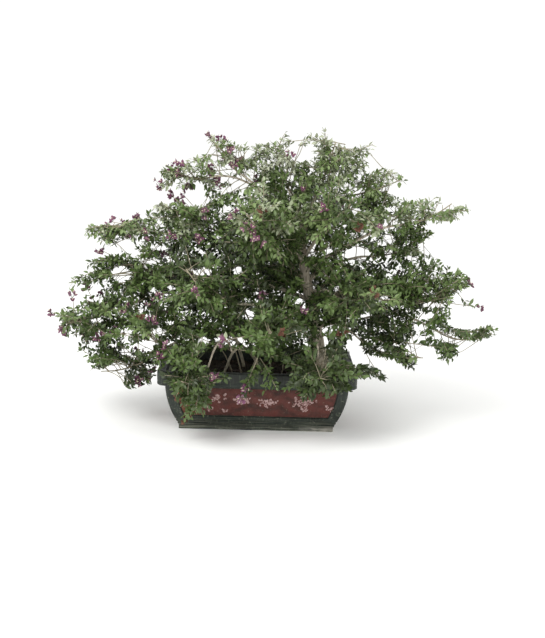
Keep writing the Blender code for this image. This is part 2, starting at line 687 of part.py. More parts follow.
class Growth:
    """One mass as it grows: its stem, its side twigs and its leaves, by the rule of every mass."""

    def __init__(self, mass, limb, limbs):
        self.mass = mass
        self.rng = random.Random(mass.name)
        self.space = Space(mass, MASSES)
        self.limbs = [tuple(other) for other in limbs.values()]
        self.twigs = []
        self.leaves = []
        self.leaf_trees = []
        self.grow_stem(limb)
        self.grow_side_twigs()
        for number in range(len(self.twigs)):
            self.grow_leaves(number)

    def jitter(self, amount):
        gauss = self.rng.gauss
        return Vector((gauss(0, 1), gauss(0, 1), gauss(0, 1))).normalized() * amount

    def grow_stem(self, limb):
        """The stem carries its limb's line on, and ends past the middle of the space."""
        tangent = (limb.points[-1] - limb.points[-2]).normalized()
        base = limb.points[-1] + tangent * CLEARANCE
        collar = base + tangent * STEM_COLLAR
        away = (self.space.centre - collar).normalized()
        radii = [limb.radii[-1], *taper(limb.radii[-1], TWIG_RADIUS_HIGH, STEM_POINTS)]
        sticks = Sticks(self.limbs)
        for _ in range(TRIES):
            aim = away + self.jitter(AIM_SPREAD)
            unit = Vector((aim[axis] / self.mass.half[axis] for axis in range(3))).normalized()
            end = self.space.centre.lerp(self.space.edge(unit), STEM_REACH)
            control = collar + tangent * (end - collar).length * STEM_CURVE
            points = [base, *bend(collar, control, end, STEM_POINTS)]
            if tube_fits(self.space, sticks, points[2:], radii[2:]):
                break
        self.twigs.append((points, radii))

    def grow_side_twigs(self):
        """Twigs from the stem towards every side, each with room for a leaf beyond its tip."""
        stem = self.twigs[0][0]
        sticks = Sticks(self.limbs)
        directions = list(spread_directions(self.mass.twigs, self.rng.random() * 2 * math.pi))
        self.rng.shuffle(directions)
        for number, direction in enumerate(directions):
            place = (number + self.rng.random() / 2) / len(directions)
            start = point_along(stem, FIRST_FORK + (LAST_FORK - FIRST_FORK) * place)
            for attempt in range(TRIES):
                way = self.space.edge((direction + self.jitter(AIM_SPREAD)).normalized()) - start
                leaf_room = LEAF_SIZE.z * TIP_LEAF_SHARE / way.length
                end = start + way * (1 - leaf_room) * (1 - TWIG_DRAW_BACK * attempt)
                twig = end - start
                if twig.length < SHORTEST_TWIG or leaf_room > MOST_LEAF_ROOM:
                    continue
                leaf_tip = end + twig.normalized() * LEAF_SIZE.z * TIP_LEAF_SHARE
                radii = [TWIG_RADIUS_LOW, TWIG_RADIUS_HIGH]
                if self.space.holds(leaf_tip) and tube_fits(self.space, sticks, [start, end], radii):
                    self.twigs.append(([start, end], radii))
                    break

    def grow_leaves(self, number):
        """Leaves by turns on either side of a twig, and one leaf or one head of bracts at its tip."""
        points = self.twigs[number][0]
        others = [twig for i, twig in enumerate(self.twigs) if i != number]
        sticks = Sticks(self.limbs + others)
        bract_tip = number > 0 and self.rng.random() < self.mass.bracts
        phase = self.rng.random() * 2 * math.pi
        for place, station in enumerate(STEM_LEAVES if number == 0 else TWIG_LEAVES):
            at_tip = station == 1.0
            root = point_along(points, station)
            ahead = (root - point_along(points, station - LOOK_BACK)).normalized()
            turn = phase + math.pi * place
            size = BRACT_SIZE if at_tip and bract_tip else LEAF_SIZE
            for attempt in range(TRIES):
                spread = TURN_SPREAD + TURN_SPREAD_PER_TRY * attempt
                axis = self.leaf_axis(ahead, at_tip, turn + self.rng.gauss(0, spread), attempt)
                out = self.space.unit(root) * FACES_OUT
                facing = out + Vector((0, 0, FACES_UP)) + self.jitter(FACING_SPREAD)
                scale = 1 + LEAF_SIZE_SPREAD * self.rng.uniform(-1, 1) - LEAF_DRAW_BACK * attempt
                matrix = leaf_matrix(root, axis, facing, size * scale)
                corners = [matrix @ corner for corner in UNIT_LEAF]
                if leaf_fits(self.space, sticks, self.leaf_trees, corners):
                    self.leaves.append(matrix)
                    self.leaf_trees.append(BVHTree.FromPolygons(corners, LEAF_FACES))
                    break

    def leaf_axis(self, ahead, at_tip, turn, attempt):
        if at_tip:
            return ahead + self.jitter(TIP_SPREAD + TIP_SPREAD_PER_TRY * attempt)
        side = ahead.orthogonal().normalized()
        side.rotate(Matrix.Rotation(turn, 3, ahead))
        return ahead * self.rng.uniform(*LEAF_FORWARD) + side + Vector((0, 0, LEAF_DROOP))


def spread_directions(count, turn):
    """Unit directions spread evenly over the sphere, turned about the upright by an angle."""
    for i in range(count):
        height = 1 - (2 * i + 1) / count
        around = GOLDEN_ANGLE * i + turn
        level = math.sqrt(1 - height * height)
        yield Vector((level * math.cos(around), level * math.sin(around), height))


def body_volume(faces):
    """Six times the volume that these faces enclose, negative where they face inwards."""
    total = 0.0
    for face in faces:
        first = face.verts[0].co
        for second, third in zip(face.verts[1:], face.verts[2:]):
            total += first.dot(second.co.cross(third.co))
    return total


def keep_main_body(mesh):
    """Drops loose scraps and the inner skins of sealed hollows, which fills them."""
    bm = bmesh.new()
    bm.from_mesh(mesh)
    bodies = []
    left = set(bm.faces)
    while left:
        body = {left.pop()}
        edge_of_body = list(body)
        while edge_of_body:
            face = edge_of_body.pop()
            for edge in face.edges:
                for linked in edge.link_faces:
                    if linked in left:
                        left.remove(linked)
                        body.add(linked)
                        edge_of_body.append(linked)
        bodies.append(body)
    main = max(bodies, key=body_volume)
    for body in bodies:
        if body is not main:
            bmesh.ops.delete(bm, geom=list(body), context="FACES")
    bm.to_mesh(mesh)
    bm.free()


def fuse(name, meshes_and_places, parts, material):
    """One solid from closed meshes that meet, by a union of the first with all the others."""
    pieces = bpy.data.collections.new(f"{name}_pieces")
    bpy.context.scene.collection.children.link(pieces)
    whole = object_from(name, meshes_and_places[0][0], parts)
    for mesh, place in meshes_and_places[1:]:
        piece = bpy.data.objects.new("piece", mesh)
        piece.matrix_world = place
        pieces.objects.link(piece)
    union = whole.modifiers.new("union", "BOOLEAN")
    union.operation = "UNION"
    union.operand_type = "COLLECTION"
    union.collection = pieces
    union.solver = "EXACT"
    bpy.context.view_layer.update()
    graph = bpy.context.evaluated_depsgraph_get()
    fused = bpy.data.meshes.new_from_object(whole.evaluated_get(graph))
    whole.modifiers.clear()
    for piece in list(pieces.objects):
        bpy.data.objects.remove(piece)
    bpy.data.collections.remove(pieces)
    keep_main_body(fused)
    fused.name = name
    fused.materials.append(material)
    whole.data = fused


def make_foliage(limbs, parts, cutters, leaf_green):
    profile = three_sided_profile(cutters)
    leaf = unit_leaf()
    for mass in MASSES:
        limb = limbs[mass.limb] if mass.along == 1.0 else limbs[f"bough_{mass.name}"]
        growth = Growth(mass, limb, limbs)
        tubes = [(mesh, Matrix.Identity(4)) for mesh in tube_meshes(growth.twigs, cutters, profile)]
        blades = [(leaf, matrix) for matrix in growth.leaves]
        fuse(f"foliage_{mass.name}", tubes + blades, parts, leaf_green)
    bpy.data.objects.remove(profile)


def main():
    clear_scene()
    parts = new_collection(TREE)
    cutters = new_collection("cutters", hidden=True)
    glaze = new_material("dark_green_glaze", (0.045, 0.055, 0.045), 0.35)
    earth = new_material("dark_earth", (0.03, 0.025, 0.018), 0.9)
    bark = new_material("grey_tan_bark", (0.22, 0.19, 0.14), 0.75)
    leaf_green = new_material("leaf_green", (0.08, 0.12, 0.04), 0.6)
    make_pot(parts, cutters, glaze)
    make_soil(parts, earth)
    limbs = route_limbs()
    make_limbs(limbs, parts, cutters, bark)
    make_foliage(limbs, parts, cutters, leaf_green)


main()
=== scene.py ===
"""The looks of a bougainvillea bonsai in its rectangular glazed pot, in metres, with +Z up.

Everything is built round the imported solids: the limbs follow the same routes as the solids do, and
each mass of foliage grows on from its limb by the source's rule, carried to finer twigs and leaves.
"""

import math
import random
from collections import namedtuple

import bmesh
import bpy
import numpy as np
from bpy.props import FloatProperty, FloatVectorProperty, IntProperty, PointerProperty
from mathutils import Matrix, Vector, noise


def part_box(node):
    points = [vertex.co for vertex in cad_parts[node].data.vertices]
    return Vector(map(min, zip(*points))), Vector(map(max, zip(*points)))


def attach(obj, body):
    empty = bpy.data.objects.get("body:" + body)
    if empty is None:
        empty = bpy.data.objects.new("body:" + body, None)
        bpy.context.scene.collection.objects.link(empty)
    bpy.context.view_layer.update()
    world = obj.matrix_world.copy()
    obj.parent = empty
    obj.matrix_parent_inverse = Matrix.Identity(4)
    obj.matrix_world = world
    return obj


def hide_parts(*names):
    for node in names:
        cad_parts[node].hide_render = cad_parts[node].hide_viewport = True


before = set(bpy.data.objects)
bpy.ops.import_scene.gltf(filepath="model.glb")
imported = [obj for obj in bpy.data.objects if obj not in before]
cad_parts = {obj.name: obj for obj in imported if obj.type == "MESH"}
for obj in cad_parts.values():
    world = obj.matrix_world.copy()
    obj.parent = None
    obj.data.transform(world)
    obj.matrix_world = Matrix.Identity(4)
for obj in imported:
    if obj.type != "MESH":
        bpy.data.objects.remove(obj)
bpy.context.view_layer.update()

bl_info = {
    "name": "Bougainvillea Bonsai",
    "version": (1, 0, 0),
    "blender": (4, 5, 0),
    "location": "3D View > Sidebar > Bonsai",
    "description": "Dresses a potted bougainvillea bonsai with bark, twigs, leaves, bracts and glaze",
    "category": "Add Mesh",
}

BODY = "root"
TREE = "bougainvillea_bonsai"
UP = Vector((0, 0, 1))
FULL_TURN = math.tau
GOLDEN_ANGLE = math.pi * (3 - math.sqrt(5))

# The camera stands where the photograph was taken from.
CAMERA_PLACE = Vector((-0.012, -4.16, 1.306))
CAMERA_PITCH = math.radians(11.96)
CAMERA_YAW = math.radians(0.93)
CAMERA_ROLL = math.radians(1.69)
CAMERA_LENS = 59.47
SENSOR = 36.0
LAMPS_AIM = Vector((0, 0, 0.6))

# The pot and the soil as the solids have them.
RIM_HALF_X, RIM_HALF_Y, POT_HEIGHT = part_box("pot")[1]
SOIL_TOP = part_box("soil")[1].z
RIM_DEPTH = 0.055
RIM_OVERHANG = 0.030
RIM_WIDTH = 0.034
CORNER_RADIUS = 0.032
BODY_INSET_AT_FOOT = 0.052
PLINTH_HEIGHT = 0.015
WALL = 0.024
FLOOR = 0.028
GROOVE_HEIGHTS = (0.016, 0.029, 0.042)
GROOVE_HALF_HEIGHT = 0.0035
GROOVE_DEPTH = 0.003
PANEL_BOTTOM = 0.060
PANEL_TOP = 0.186
PANEL_DEPTH = 0.005
PANEL_MARGIN = 0.043

# The trunk and the other limbs as the solids have them.
CLEARANCE = 0.0003
TRUNK_FOOT = Vector((0.250, 0.020, SOIL_TOP + CLEARANCE))
TRUNK_FORK = Vector((0.162, 0.000, 0.800))
TRUNK_BOW = 0.010
TRUNK_RADIUS_LOW = 0.029
TRUNK_RADIUS_HIGH = 0.0140
TRUNK_RINGS = 12
TRUNK_TWIST = 1.1
# Its furrows, fine cracks and swellings: depth, waves round it, waves up it and where those start.
TRUNK_RELIEF = ((0.0024, 4.2, 13, 0), (0.0009, 11, 46, 0), (0.0022, 1.2, 6, 7))
FLARE = 0.022
FLARE_HEIGHT = 0.035
FLARE_LOBES = 5
LOBE_SHARE = 0.28
LIMB_POINTS = 6
STEM_UPRIGHT = 0.014
STEM_TIP_SHARE = 0.62
STEM_BENDS_AT = 0.35
STEM_ARCH = 0.25
BOUGH_TIP_RADIUS = 0.0036
FORK_SHARE = 0.78
LIMB_WOBBLE = 0.022
ENTRY_SHARE = 0.88
ENTRY_ROOM = 0.006
SPACE_MARGIN = 0.0006
STEM_REACH = 0.60
STEM_COLLAR = 0.010
STEM_CURVE = 0.45
AIM_SPREAD = 0.25
FIRST_FORK = 0.10
LAST_FORK = 1.0
LOWEST_LEAF = 0.030
POT_MARGIN = 0.006

# How the wood thins from a mass's stem to its finest shoots.
TWIG_RADIUS = 0.0026
TWIG_TIP_RADIUS = 0.0012
SHOOT_RADIUS = 0.0012
SHOOT_TIP_RADIUS = 0.0006
TWIG_POINTS = 6
SHOOT_POINTS = 3

Mass = namedtuple("Mass", "name limb along rise radius centre half twigs bracts")
Stem = namedtuple("Stem", "name foot mass radius rise")
Limb = namedtuple("Limb", "points radii")
Gap = namedtuple("Gap", "x z half_x half_z")
Blade = namedtuple("Blade", "root axis facing length width fold curl")


def gaps(*rows):
    return [Gap(*row) for row in rows]


# Each mass of foliage, as in the source: the limb that its bough leaves and how far along it, the
# bough's rise and radius, the middle and half sizes of the mass, its side twigs, its share of bracts.
MASSES = [Mass(*row) for row in (
    ("top_centre", "trunk", 0.985, 0.02, 0.009, (0.07, 0.05, 1.05), (0.14, 0.15, 0.13), 5, 0.1),
    ("top_right", "trunk", 0.91, 0.03, 0.009, (0.26, 0.0, 1.07), (0.14, 0.15, 0.12), 5, 0.0),
    ("top_left", "trunk", 0.82, 0.05, 0.009, (-0.15, -0.03, 1.08), (0.15, 0.14, 0.10), 5, 0.3),
    ("top_left_spray", "bough_top_left", 0.70, 0.02, 0.006, (-0.31, 0.06, 1.0), (0.16, 0.14, 0.11), 5, 0.4),
    ("upper_right", "bough_top_right", 0.45, 0.01, 0.007, (0.47, 0.05, 0.97), (0.17, 0.17, 0.13), 5, 0.0),
    ("upper_right_front", "trunk", 0.775, 0.02, 0.008, (0.30, -0.20, 0.88), (0.18, 0.16, 0.13), 5, 0.1),
    ("centre_front", "trunk", 0.74, 0.03, 0.008, (0.0, -0.22, 0.83), (0.18, 0.16, 0.15), 6, 0.2),
    ("upper_left", "trunk", 0.66, 0.02, 0.009, (-0.26, 0.02, 0.82), (0.19, 0.19, 0.13), 5, 0.2),
    ("left_spray", "bough_upper_left", 0.55, 0.0, 0.006, (-0.55, 0.0, 0.78), (0.19, 0.15, 0.10), 5, 0.4),
    ("right_spray", "trunk", 0.70, 0.03, 0.008, (0.66, -0.02, 0.87), (0.20, 0.15, 0.10), 5, 0.0),
    ("right_middle", "trunk", 0.62, 0.03, 0.008, (0.57, 0.08, 0.73), (0.18, 0.18, 0.10), 5, 0.0),
    ("right_outer", "trunk", 0.45, 0.05, 0.009, (0.67, -0.02, 0.54), (0.22, 0.18, 0.12), 6, 0.1),
    ("right_centre_front", "trunk", 0.54, 0.02, 0.008, (0.38, -0.22, 0.57), (0.18, 0.16, 0.14), 5, 0.0),
    ("right_low", "trunk", 0.30, 0.04, 0.008, (0.56, -0.05, 0.33), (0.19, 0.19, 0.13), 5, 0.0),
    ("far_right_low", "bough_right_low", 0.60, 0.06, 0.006,
     (0.84, -0.02, 0.38), (0.17, 0.15, 0.11), 5, 0.1),
    ("left_middle", "trunk", 0.50, 0.03, 0.009, (-0.47, 0.02, 0.61), (0.20, 0.19, 0.12), 5, 0.3),
    ("far_left", "bough_left_middle", 0.55, 0.02, 0.006, (-0.68, -0.02, 0.42), (0.17, 0.17, 0.13), 6, 0.5),
    ("back_upper", "trunk", 0.87, 0.02, 0.008, (0.13, 0.30, 0.90), (0.24, 0.17, 0.15), 5, 0.1),
    ("back_centre", "trunk", 0.58, 0.03, 0.008, (0.0, 0.38, 0.62), (0.22, 0.19, 0.16), 5, 0.1),
    ("back_right", "trunk", 0.40, 0.03, 0.008, (0.40, 0.34, 0.50), (0.22, 0.19, 0.15), 6, 0.1),
    ("left_low", "stem_leaning_left", 1.0, 0.04, 0.006, (-0.41, -0.18, 0.40), (0.18, 0.16, 0.13), 5, 0.3),
    ("left_bottom", "stem_leaning_left", 0.45, 0.06, 0.005,
     (-0.56, 0.02, 0.22), (0.16, 0.16, 0.12), 5, 0.5),
    ("front_centre", "stem_leaning_right", 1.0, 0.04, 0.006,
     (0.01, -0.31, 0.42), (0.16, 0.14, 0.15), 5, 0.1),
    ("front_left_drape", "stem_leaning_right", 0.50, 0.08, 0.005,
     (-0.25, -0.35, 0.27), (0.16, 0.12, 0.15), 5, 0.1),
    ("centre_left_front", "stem_right", 1.0, 0.05, 0.008, (-0.20, -0.25, 0.61), (0.20, 0.17, 0.14), 6, 0.2),
    ("front_right_drape", "stem_right", 0.40, 0.05, 0.005, (0.24, -0.35, 0.30), (0.17, 0.13, 0.14), 5, 0.1),
    ("back_left", "stem_behind", 1.0, 0.04, 0.007, (-0.36, 0.34, 0.55), (0.22, 0.18, 0.16), 6, 0.2),
    ("back_low", "stem_behind", 0.50, 0.06, 0.005, (0.04, 0.40, 0.33), (0.24, 0.16, 0.13), 5, 0.1),
)]
FOLIAGE = [f"foliage_{mass.name}" for mass in MASSES]

# The thinner stems beside the trunk, as in the source.
STEMS = (
    Stem("stem_right", (0.312, -0.070), "centre_left_front", 0.0085, 0.05),
    Stem("stem_leaning_left", (0.010, -0.030), "left_low", 0.0060, 0.10),
    Stem("stem_leaning_right", (-0.130, -0.080), "front_centre", 0.0060, 0.04),
    Stem("stem_behind", (-0.060, 0.080), "back_left", 0.0070, 0.10),
)

# The twigs of each mass that reach the crown's furthest tips, fill its thin places or hold its bract
# heads: x, y and z of the tip, 1 for fresh bracts there or 2 for dried ones, and the share that is bare.
# A row of three numbers is a twig with no bracts, bare for its first tenth.
LEADERS = {
    "top_centre": (
        (0.09, 0.05, 1.18, 0, 0.3), (0.17, 0.05, 1.14, 0, 0.6), (0.10, -0.05, 1.08, 1, 0.2),
    ),
    "top_right": (
        (0.24, 0.0, 1.17, 0, 0.2), (0.32, 0.0, 1.13, 0, 0.3), (0.36, 0.04, 1.10, 0, 0.3),
        (0.40, 0.00, 1.07), (0.39, 0.02, 1.11), (0.18, 0.02, 1.16), (0.43, 0.03, 1.13, 0, 0.3),
        (0.41, 0.00, 1.09),
    ),
    "top_left": (
        (-0.205, -0.03, 1.14, 1, 0.3), (-0.12, -0.10, 1.11, 1, 0.3), (-0.16, 0.0, 1.13, 1, 0.3),
        (-0.12, -0.10, 1.05, 1, 0.4), (-0.05, -0.05, 1.03), (-0.05, -0.10, 0.97),
    ),
    "top_left_spray": (
        (-0.32, 0.0, 1.04, 1, 0.5), (-0.41, 0.05, 1.01, 0, 0.3), (-0.41, 0.05, 0.95, 1, 0.4),
        (-0.32, 0.0, 1.0, 1, 0.2), (-0.17, 0.00, 0.962, 1, 0.3),
    ),
    "upper_right": (
        (0.49, 0.05, 1.06, 0, 0.3), (0.56, 0.05, 0.99, 0, 0.3), (0.55, 0.05, 0.93, 0, 0.3),
        (0.49, -0.04, 0.88), (0.45, -0.06, 0.84),
    ),
    "upper_right_front": (
        (0.43, -0.30, 0.84, 1, 0.2), (0.36, -0.32, 0.85, 2, 0.2), (0.23, -0.30, 0.91, 1, 0.3),
        (0.46, -0.10, 0.85),
    ),
    "centre_front": (
        (-0.03, -0.35, 0.81, 1, 0.1), (-0.05, -0.34, 0.83, 1, 0.1), (-0.01, -0.36, 0.79, 1, 0.1),
        (-0.10, -0.30, 0.87, 1, 0.2), (0.0, -0.30, 0.88, 2, 0.2), (-0.03, -0.15, 0.93),
        (-0.16, -0.20, 0.76), (0.08, -0.30, 0.72),
    ),
    "upper_left": (
        (-0.43, 0.0, 0.88, 0, 0.4), (-0.36, 0.05, 0.905, 1, 0.4), (-0.31, 0.03, 0.91, 1, 0.4),
        (-0.22, -0.10, 0.86, 1, 0.2), (-0.34, -0.10, 0.77, 1, 0.2), (-0.24, -0.15, 0.76, 1, 0.2),
        (-0.43, -0.05, 0.82), (-0.36, 0.0, 0.80), (-0.40, 0.08, 0.85), (-0.18, -0.05, 0.85),
        (-0.17, -0.10, 0.79), (-0.42, 0.00, 0.73), (-0.34, 0.00, 0.72), (-0.18, 0.00, 0.91),
        (-0.15, -0.05, 0.90),
    ),
    "left_spray": (
        (-0.59, 0.0, 0.80, 1, 0.3), (-0.60, 0.0, 0.76, 1, 0.3), (-0.53, 0.0, 0.75, 1, 0.2),
        (-0.45, -0.10, 0.77, 1, 0.2), (-0.55, 0.0, 0.83, 0, 0.4), (-0.70, 0.0, 0.75, 0, 0.2),
        (-0.66, -0.02, 0.75), (-0.68, 0.02, 0.76), (-0.63, 0.00, 0.74),
    ),
    "right_spray": (
        (0.71, -0.02, 0.94, 0, 0.2), (0.84, -0.02, 0.885, 0, 0.2), (0.76, -0.02, 0.84, 0, 0.2),
        (0.65, 0.00, 0.81), (0.66, 0.00, 0.93), (0.62, 0.00, 0.91),
    ),
    "right_middle": (
        (0.72, 0.08, 0.75, 0, 0.3), (0.66, 0.05, 0.67, 0, 0.3), (0.60, 0.0, 0.65), (0.57, 0.0, 0.80),
        (0.62, -0.02, 0.77), (0.67, 0.0, 0.79, 0, 0.2), (0.68, 0.02, 0.78), (0.56, 0.05, 0.68),
    ),
    "right_outer": (
        (0.81, 0.0, 0.63, 0, 0.2), (0.87, -0.02, 0.58, 0, 0.3), (0.84, -0.02, 0.60, 1, 0.3),
        (0.88, -0.02, 0.50, 1, 0.7), (0.84, -0.05, 0.46, 0, 0.3), (0.60, -0.10, 0.63),
        (0.70, -0.08, 0.63), (0.76, 0.0, 0.62), (0.54, -0.12, 0.60), (0.66, 0.05, 0.66),
        (0.52, -0.12, 0.62), (0.70, 0.00, 0.67), (0.75, 0.00, 0.65), (0.68, -0.05, 0.665),
        (0.85, -0.02, 0.59), (0.72, -0.02, 0.45), (0.66, -0.02, 0.47), (0.62, 0.00, 0.66),
        (0.58, -0.02, 0.66), (0.80, 0.00, 0.63), (0.59, -0.05, 0.585), (0.54, -0.04, 0.59),
    ),
    "right_centre_front": (
        (0.42, -0.36, 0.61, 2, 0.2), (0.32, -0.30, 0.44, 2, 0.3), (0.25, -0.16, 0.69),
        (0.22, -0.12, 0.66), (0.45, -0.15, 0.50), (0.50, -0.10, 0.60), (0.51, -0.08, 0.57),
        (0.46, -0.08, 0.58),
    ),
    "right_low": (
        (0.66, -0.05, 0.23, 0, 0.3), (0.54, -0.10, 0.21, 0, 0.4), (0.60, -0.05, 0.24, 0, 0.3),
        (0.45, -0.10, 0.38), (0.58, -0.06, 0.47), (0.60, -0.06, 0.44), (0.54, -0.10, 0.44),
        (0.64, -0.04, 0.24), (0.63, 0.00, 0.27), (0.52, -0.10, 0.40),
    ),
    "far_right_low": (
        (0.975, -0.02, 0.40, 0, 0.3), (0.83, -0.02, 0.29, 0, 0.4), (0.80, -0.04, 0.31, 0, 0.4),
        (0.79, 0.0, 0.30, 0, 0.3), (0.77, -0.02, 0.28), (0.79, -0.05, 0.27), (0.75, 0.00, 0.31),
        (0.71, -0.02, 0.43), (0.88, -0.02, 0.38), (0.92, -0.02, 0.40), (0.82, -0.04, 0.37),
    ),
    "left_middle": (
        (-0.63, 0.02, 0.68, 1, 0.4), (-0.70, 0.02, 0.62, 0, 0.3), (-0.61, 0.0, 0.64, 0, 0.3),
        (-0.74, 0.0, 0.57, 0, 0.3), (-0.60, 0.05, 0.53), (-0.65, 0.00, 0.64), (-0.64, 0.00, 0.60),
        (-0.66, 0.05, 0.57), (-0.72, 0.00, 0.575), (-0.69, -0.03, 0.56), (-0.76, 0.00, 0.55),
        (-0.55, -0.05, 0.50), (-0.52, 0.00, 0.53), (-0.49, 0.00, 0.50), (-0.58, -0.02, 0.55),
        (-0.58, 0.04, 0.52),
    ),
    "far_left": (
        (-0.78, 0.0, 0.53, 0, 0.3), (-0.69, 0.0, 0.53, 1, 0.2), (-0.74, -0.05, 0.50, 1, 0.5),
        (-0.82, -0.02, 0.43, 1, 0.3), (-0.79, 0.0, 0.36, 1, 0.3), (-0.63, -0.10, 0.36, 1, 0.2),
        (-0.69, 0.0, 0.34, 1, 0.2), (-0.58, -0.05, 0.50), (-0.62, -0.05, 0.38),
        (-0.62, 0.0, 0.33, 0, 0.2), (-0.57, 0.00, 0.54), (-0.69, 0.00, 0.32), (-0.70, 0.02, 0.29),
        (-0.66, 0.02, 0.30), (-0.62, 0.00, 0.28), (-0.70, 0.00, 0.31),
    ),
    "left_bottom": (
        (-0.74, 0.02, 0.28, 0, 0.3), (-0.68, 0.02, 0.18, 0, 0.3), (-0.52, -0.10, 0.14, 0, 0.3),
        (-0.47, -0.12, 0.19, 1, 0.2), (-0.66, 0.02, 0.27), (-0.45, 0.0, 0.17, 1, 0.2),
        (-0.62, 0.00, 0.31), (-0.57, 0.05, 0.33), (-0.55, -0.05, 0.31), (-0.53, -0.05, 0.13),
        (-0.66, 0.00, 0.21), (-0.64, -0.03, 0.25), (-0.60, 0.00, 0.24),
    ),
    "left_low": (
        (-0.41, -0.15, 0.24, 1, 0.2), (-0.51, -0.20, 0.49, 1, 0.2), (-0.38, -0.22, 0.54, 1, 0.2),
        (-0.40, -0.32, 0.47, 1, 0.2), (-0.45, -0.30, 0.48, 2, 0.2), (-0.36, -0.30, 0.34, 1, 0.2),
        (-0.28, -0.20, 0.45), (-0.50, -0.10, 0.52), (-0.34, -0.20, 0.47), (-0.45, -0.15, 0.31),
    ),
    "front_left_drape": (
        (-0.34, -0.32, 0.37, 1, 0.2), (-0.23, -0.34, 0.13), (-0.29, -0.32, 0.19, 2, 0.2),
        (-0.27, -0.30, 0.09, 2, 0.1), (-0.18, -0.45, 0.30, 1, 0.2), (-0.25, -0.30, 0.42),
        (-0.21, -0.30, 0.42),
    ),
    "front_centre": (
        (-0.13, -0.35, 0.41, 1, 0.2), (0.09, -0.42, 0.46, 2, 0.2), (-0.04, -0.35, 0.24, 1, 0.3),
        (-0.05, -0.33, 0.19, 1, 0.4), (0.07, -0.32, 0.23, 0, 0.3), (0.14, -0.22, 0.49),
        (0.13, -0.25, 0.40), (0.19, -0.20, 0.45), (0.06, -0.14, 0.56), (0.12, -0.12, 0.56),
        (-0.02, -0.16, 0.52), (0.13, -0.20, 0.37),
    ),
    "front_right_drape": (
        (0.17, -0.32, 0.17, 0, 0.3), (0.37, -0.31, 0.20, 0, 0.2), (0.28, -0.34, 0.19, 0, 0.2),
        (0.49, -0.24, 0.25, 0, 0.2), (0.44, -0.24, 0.27, 0, 0.2), (0.20, -0.22, 0.39),
        (0.30, -0.20, 0.37), (0.24, -0.16, 0.37), (0.33, -0.16, 0.36), (0.40, -0.24, 0.29),
        (0.29, -0.18, 0.33), (0.34, -0.28, 0.22), (0.36, -0.27, 0.20),
    ),
    "centre_left_front": (
        (-0.23, -0.40, 0.60, 1, 0.2), (-0.25, -0.15, 0.69), (-0.15, -0.15, 0.69), (-0.31, -0.10, 0.66),
        (-0.04, -0.12, 0.55), (0.03, -0.12, 0.58), (-0.33, -0.12, 0.46),
    ),
    "back_centre": (
        (-0.10, 0.25, 0.55), (-0.03, 0.25, 0.50), (0.04, 0.25, 0.54), (0.10, 0.25, 0.50),
        (0.15, 0.22, 0.56), (-0.08, 0.22, 0.60), (0.00, 0.22, 0.60), (0.05, 0.20, 0.47),
        (0.12, 0.20, 0.61),
    ),
}

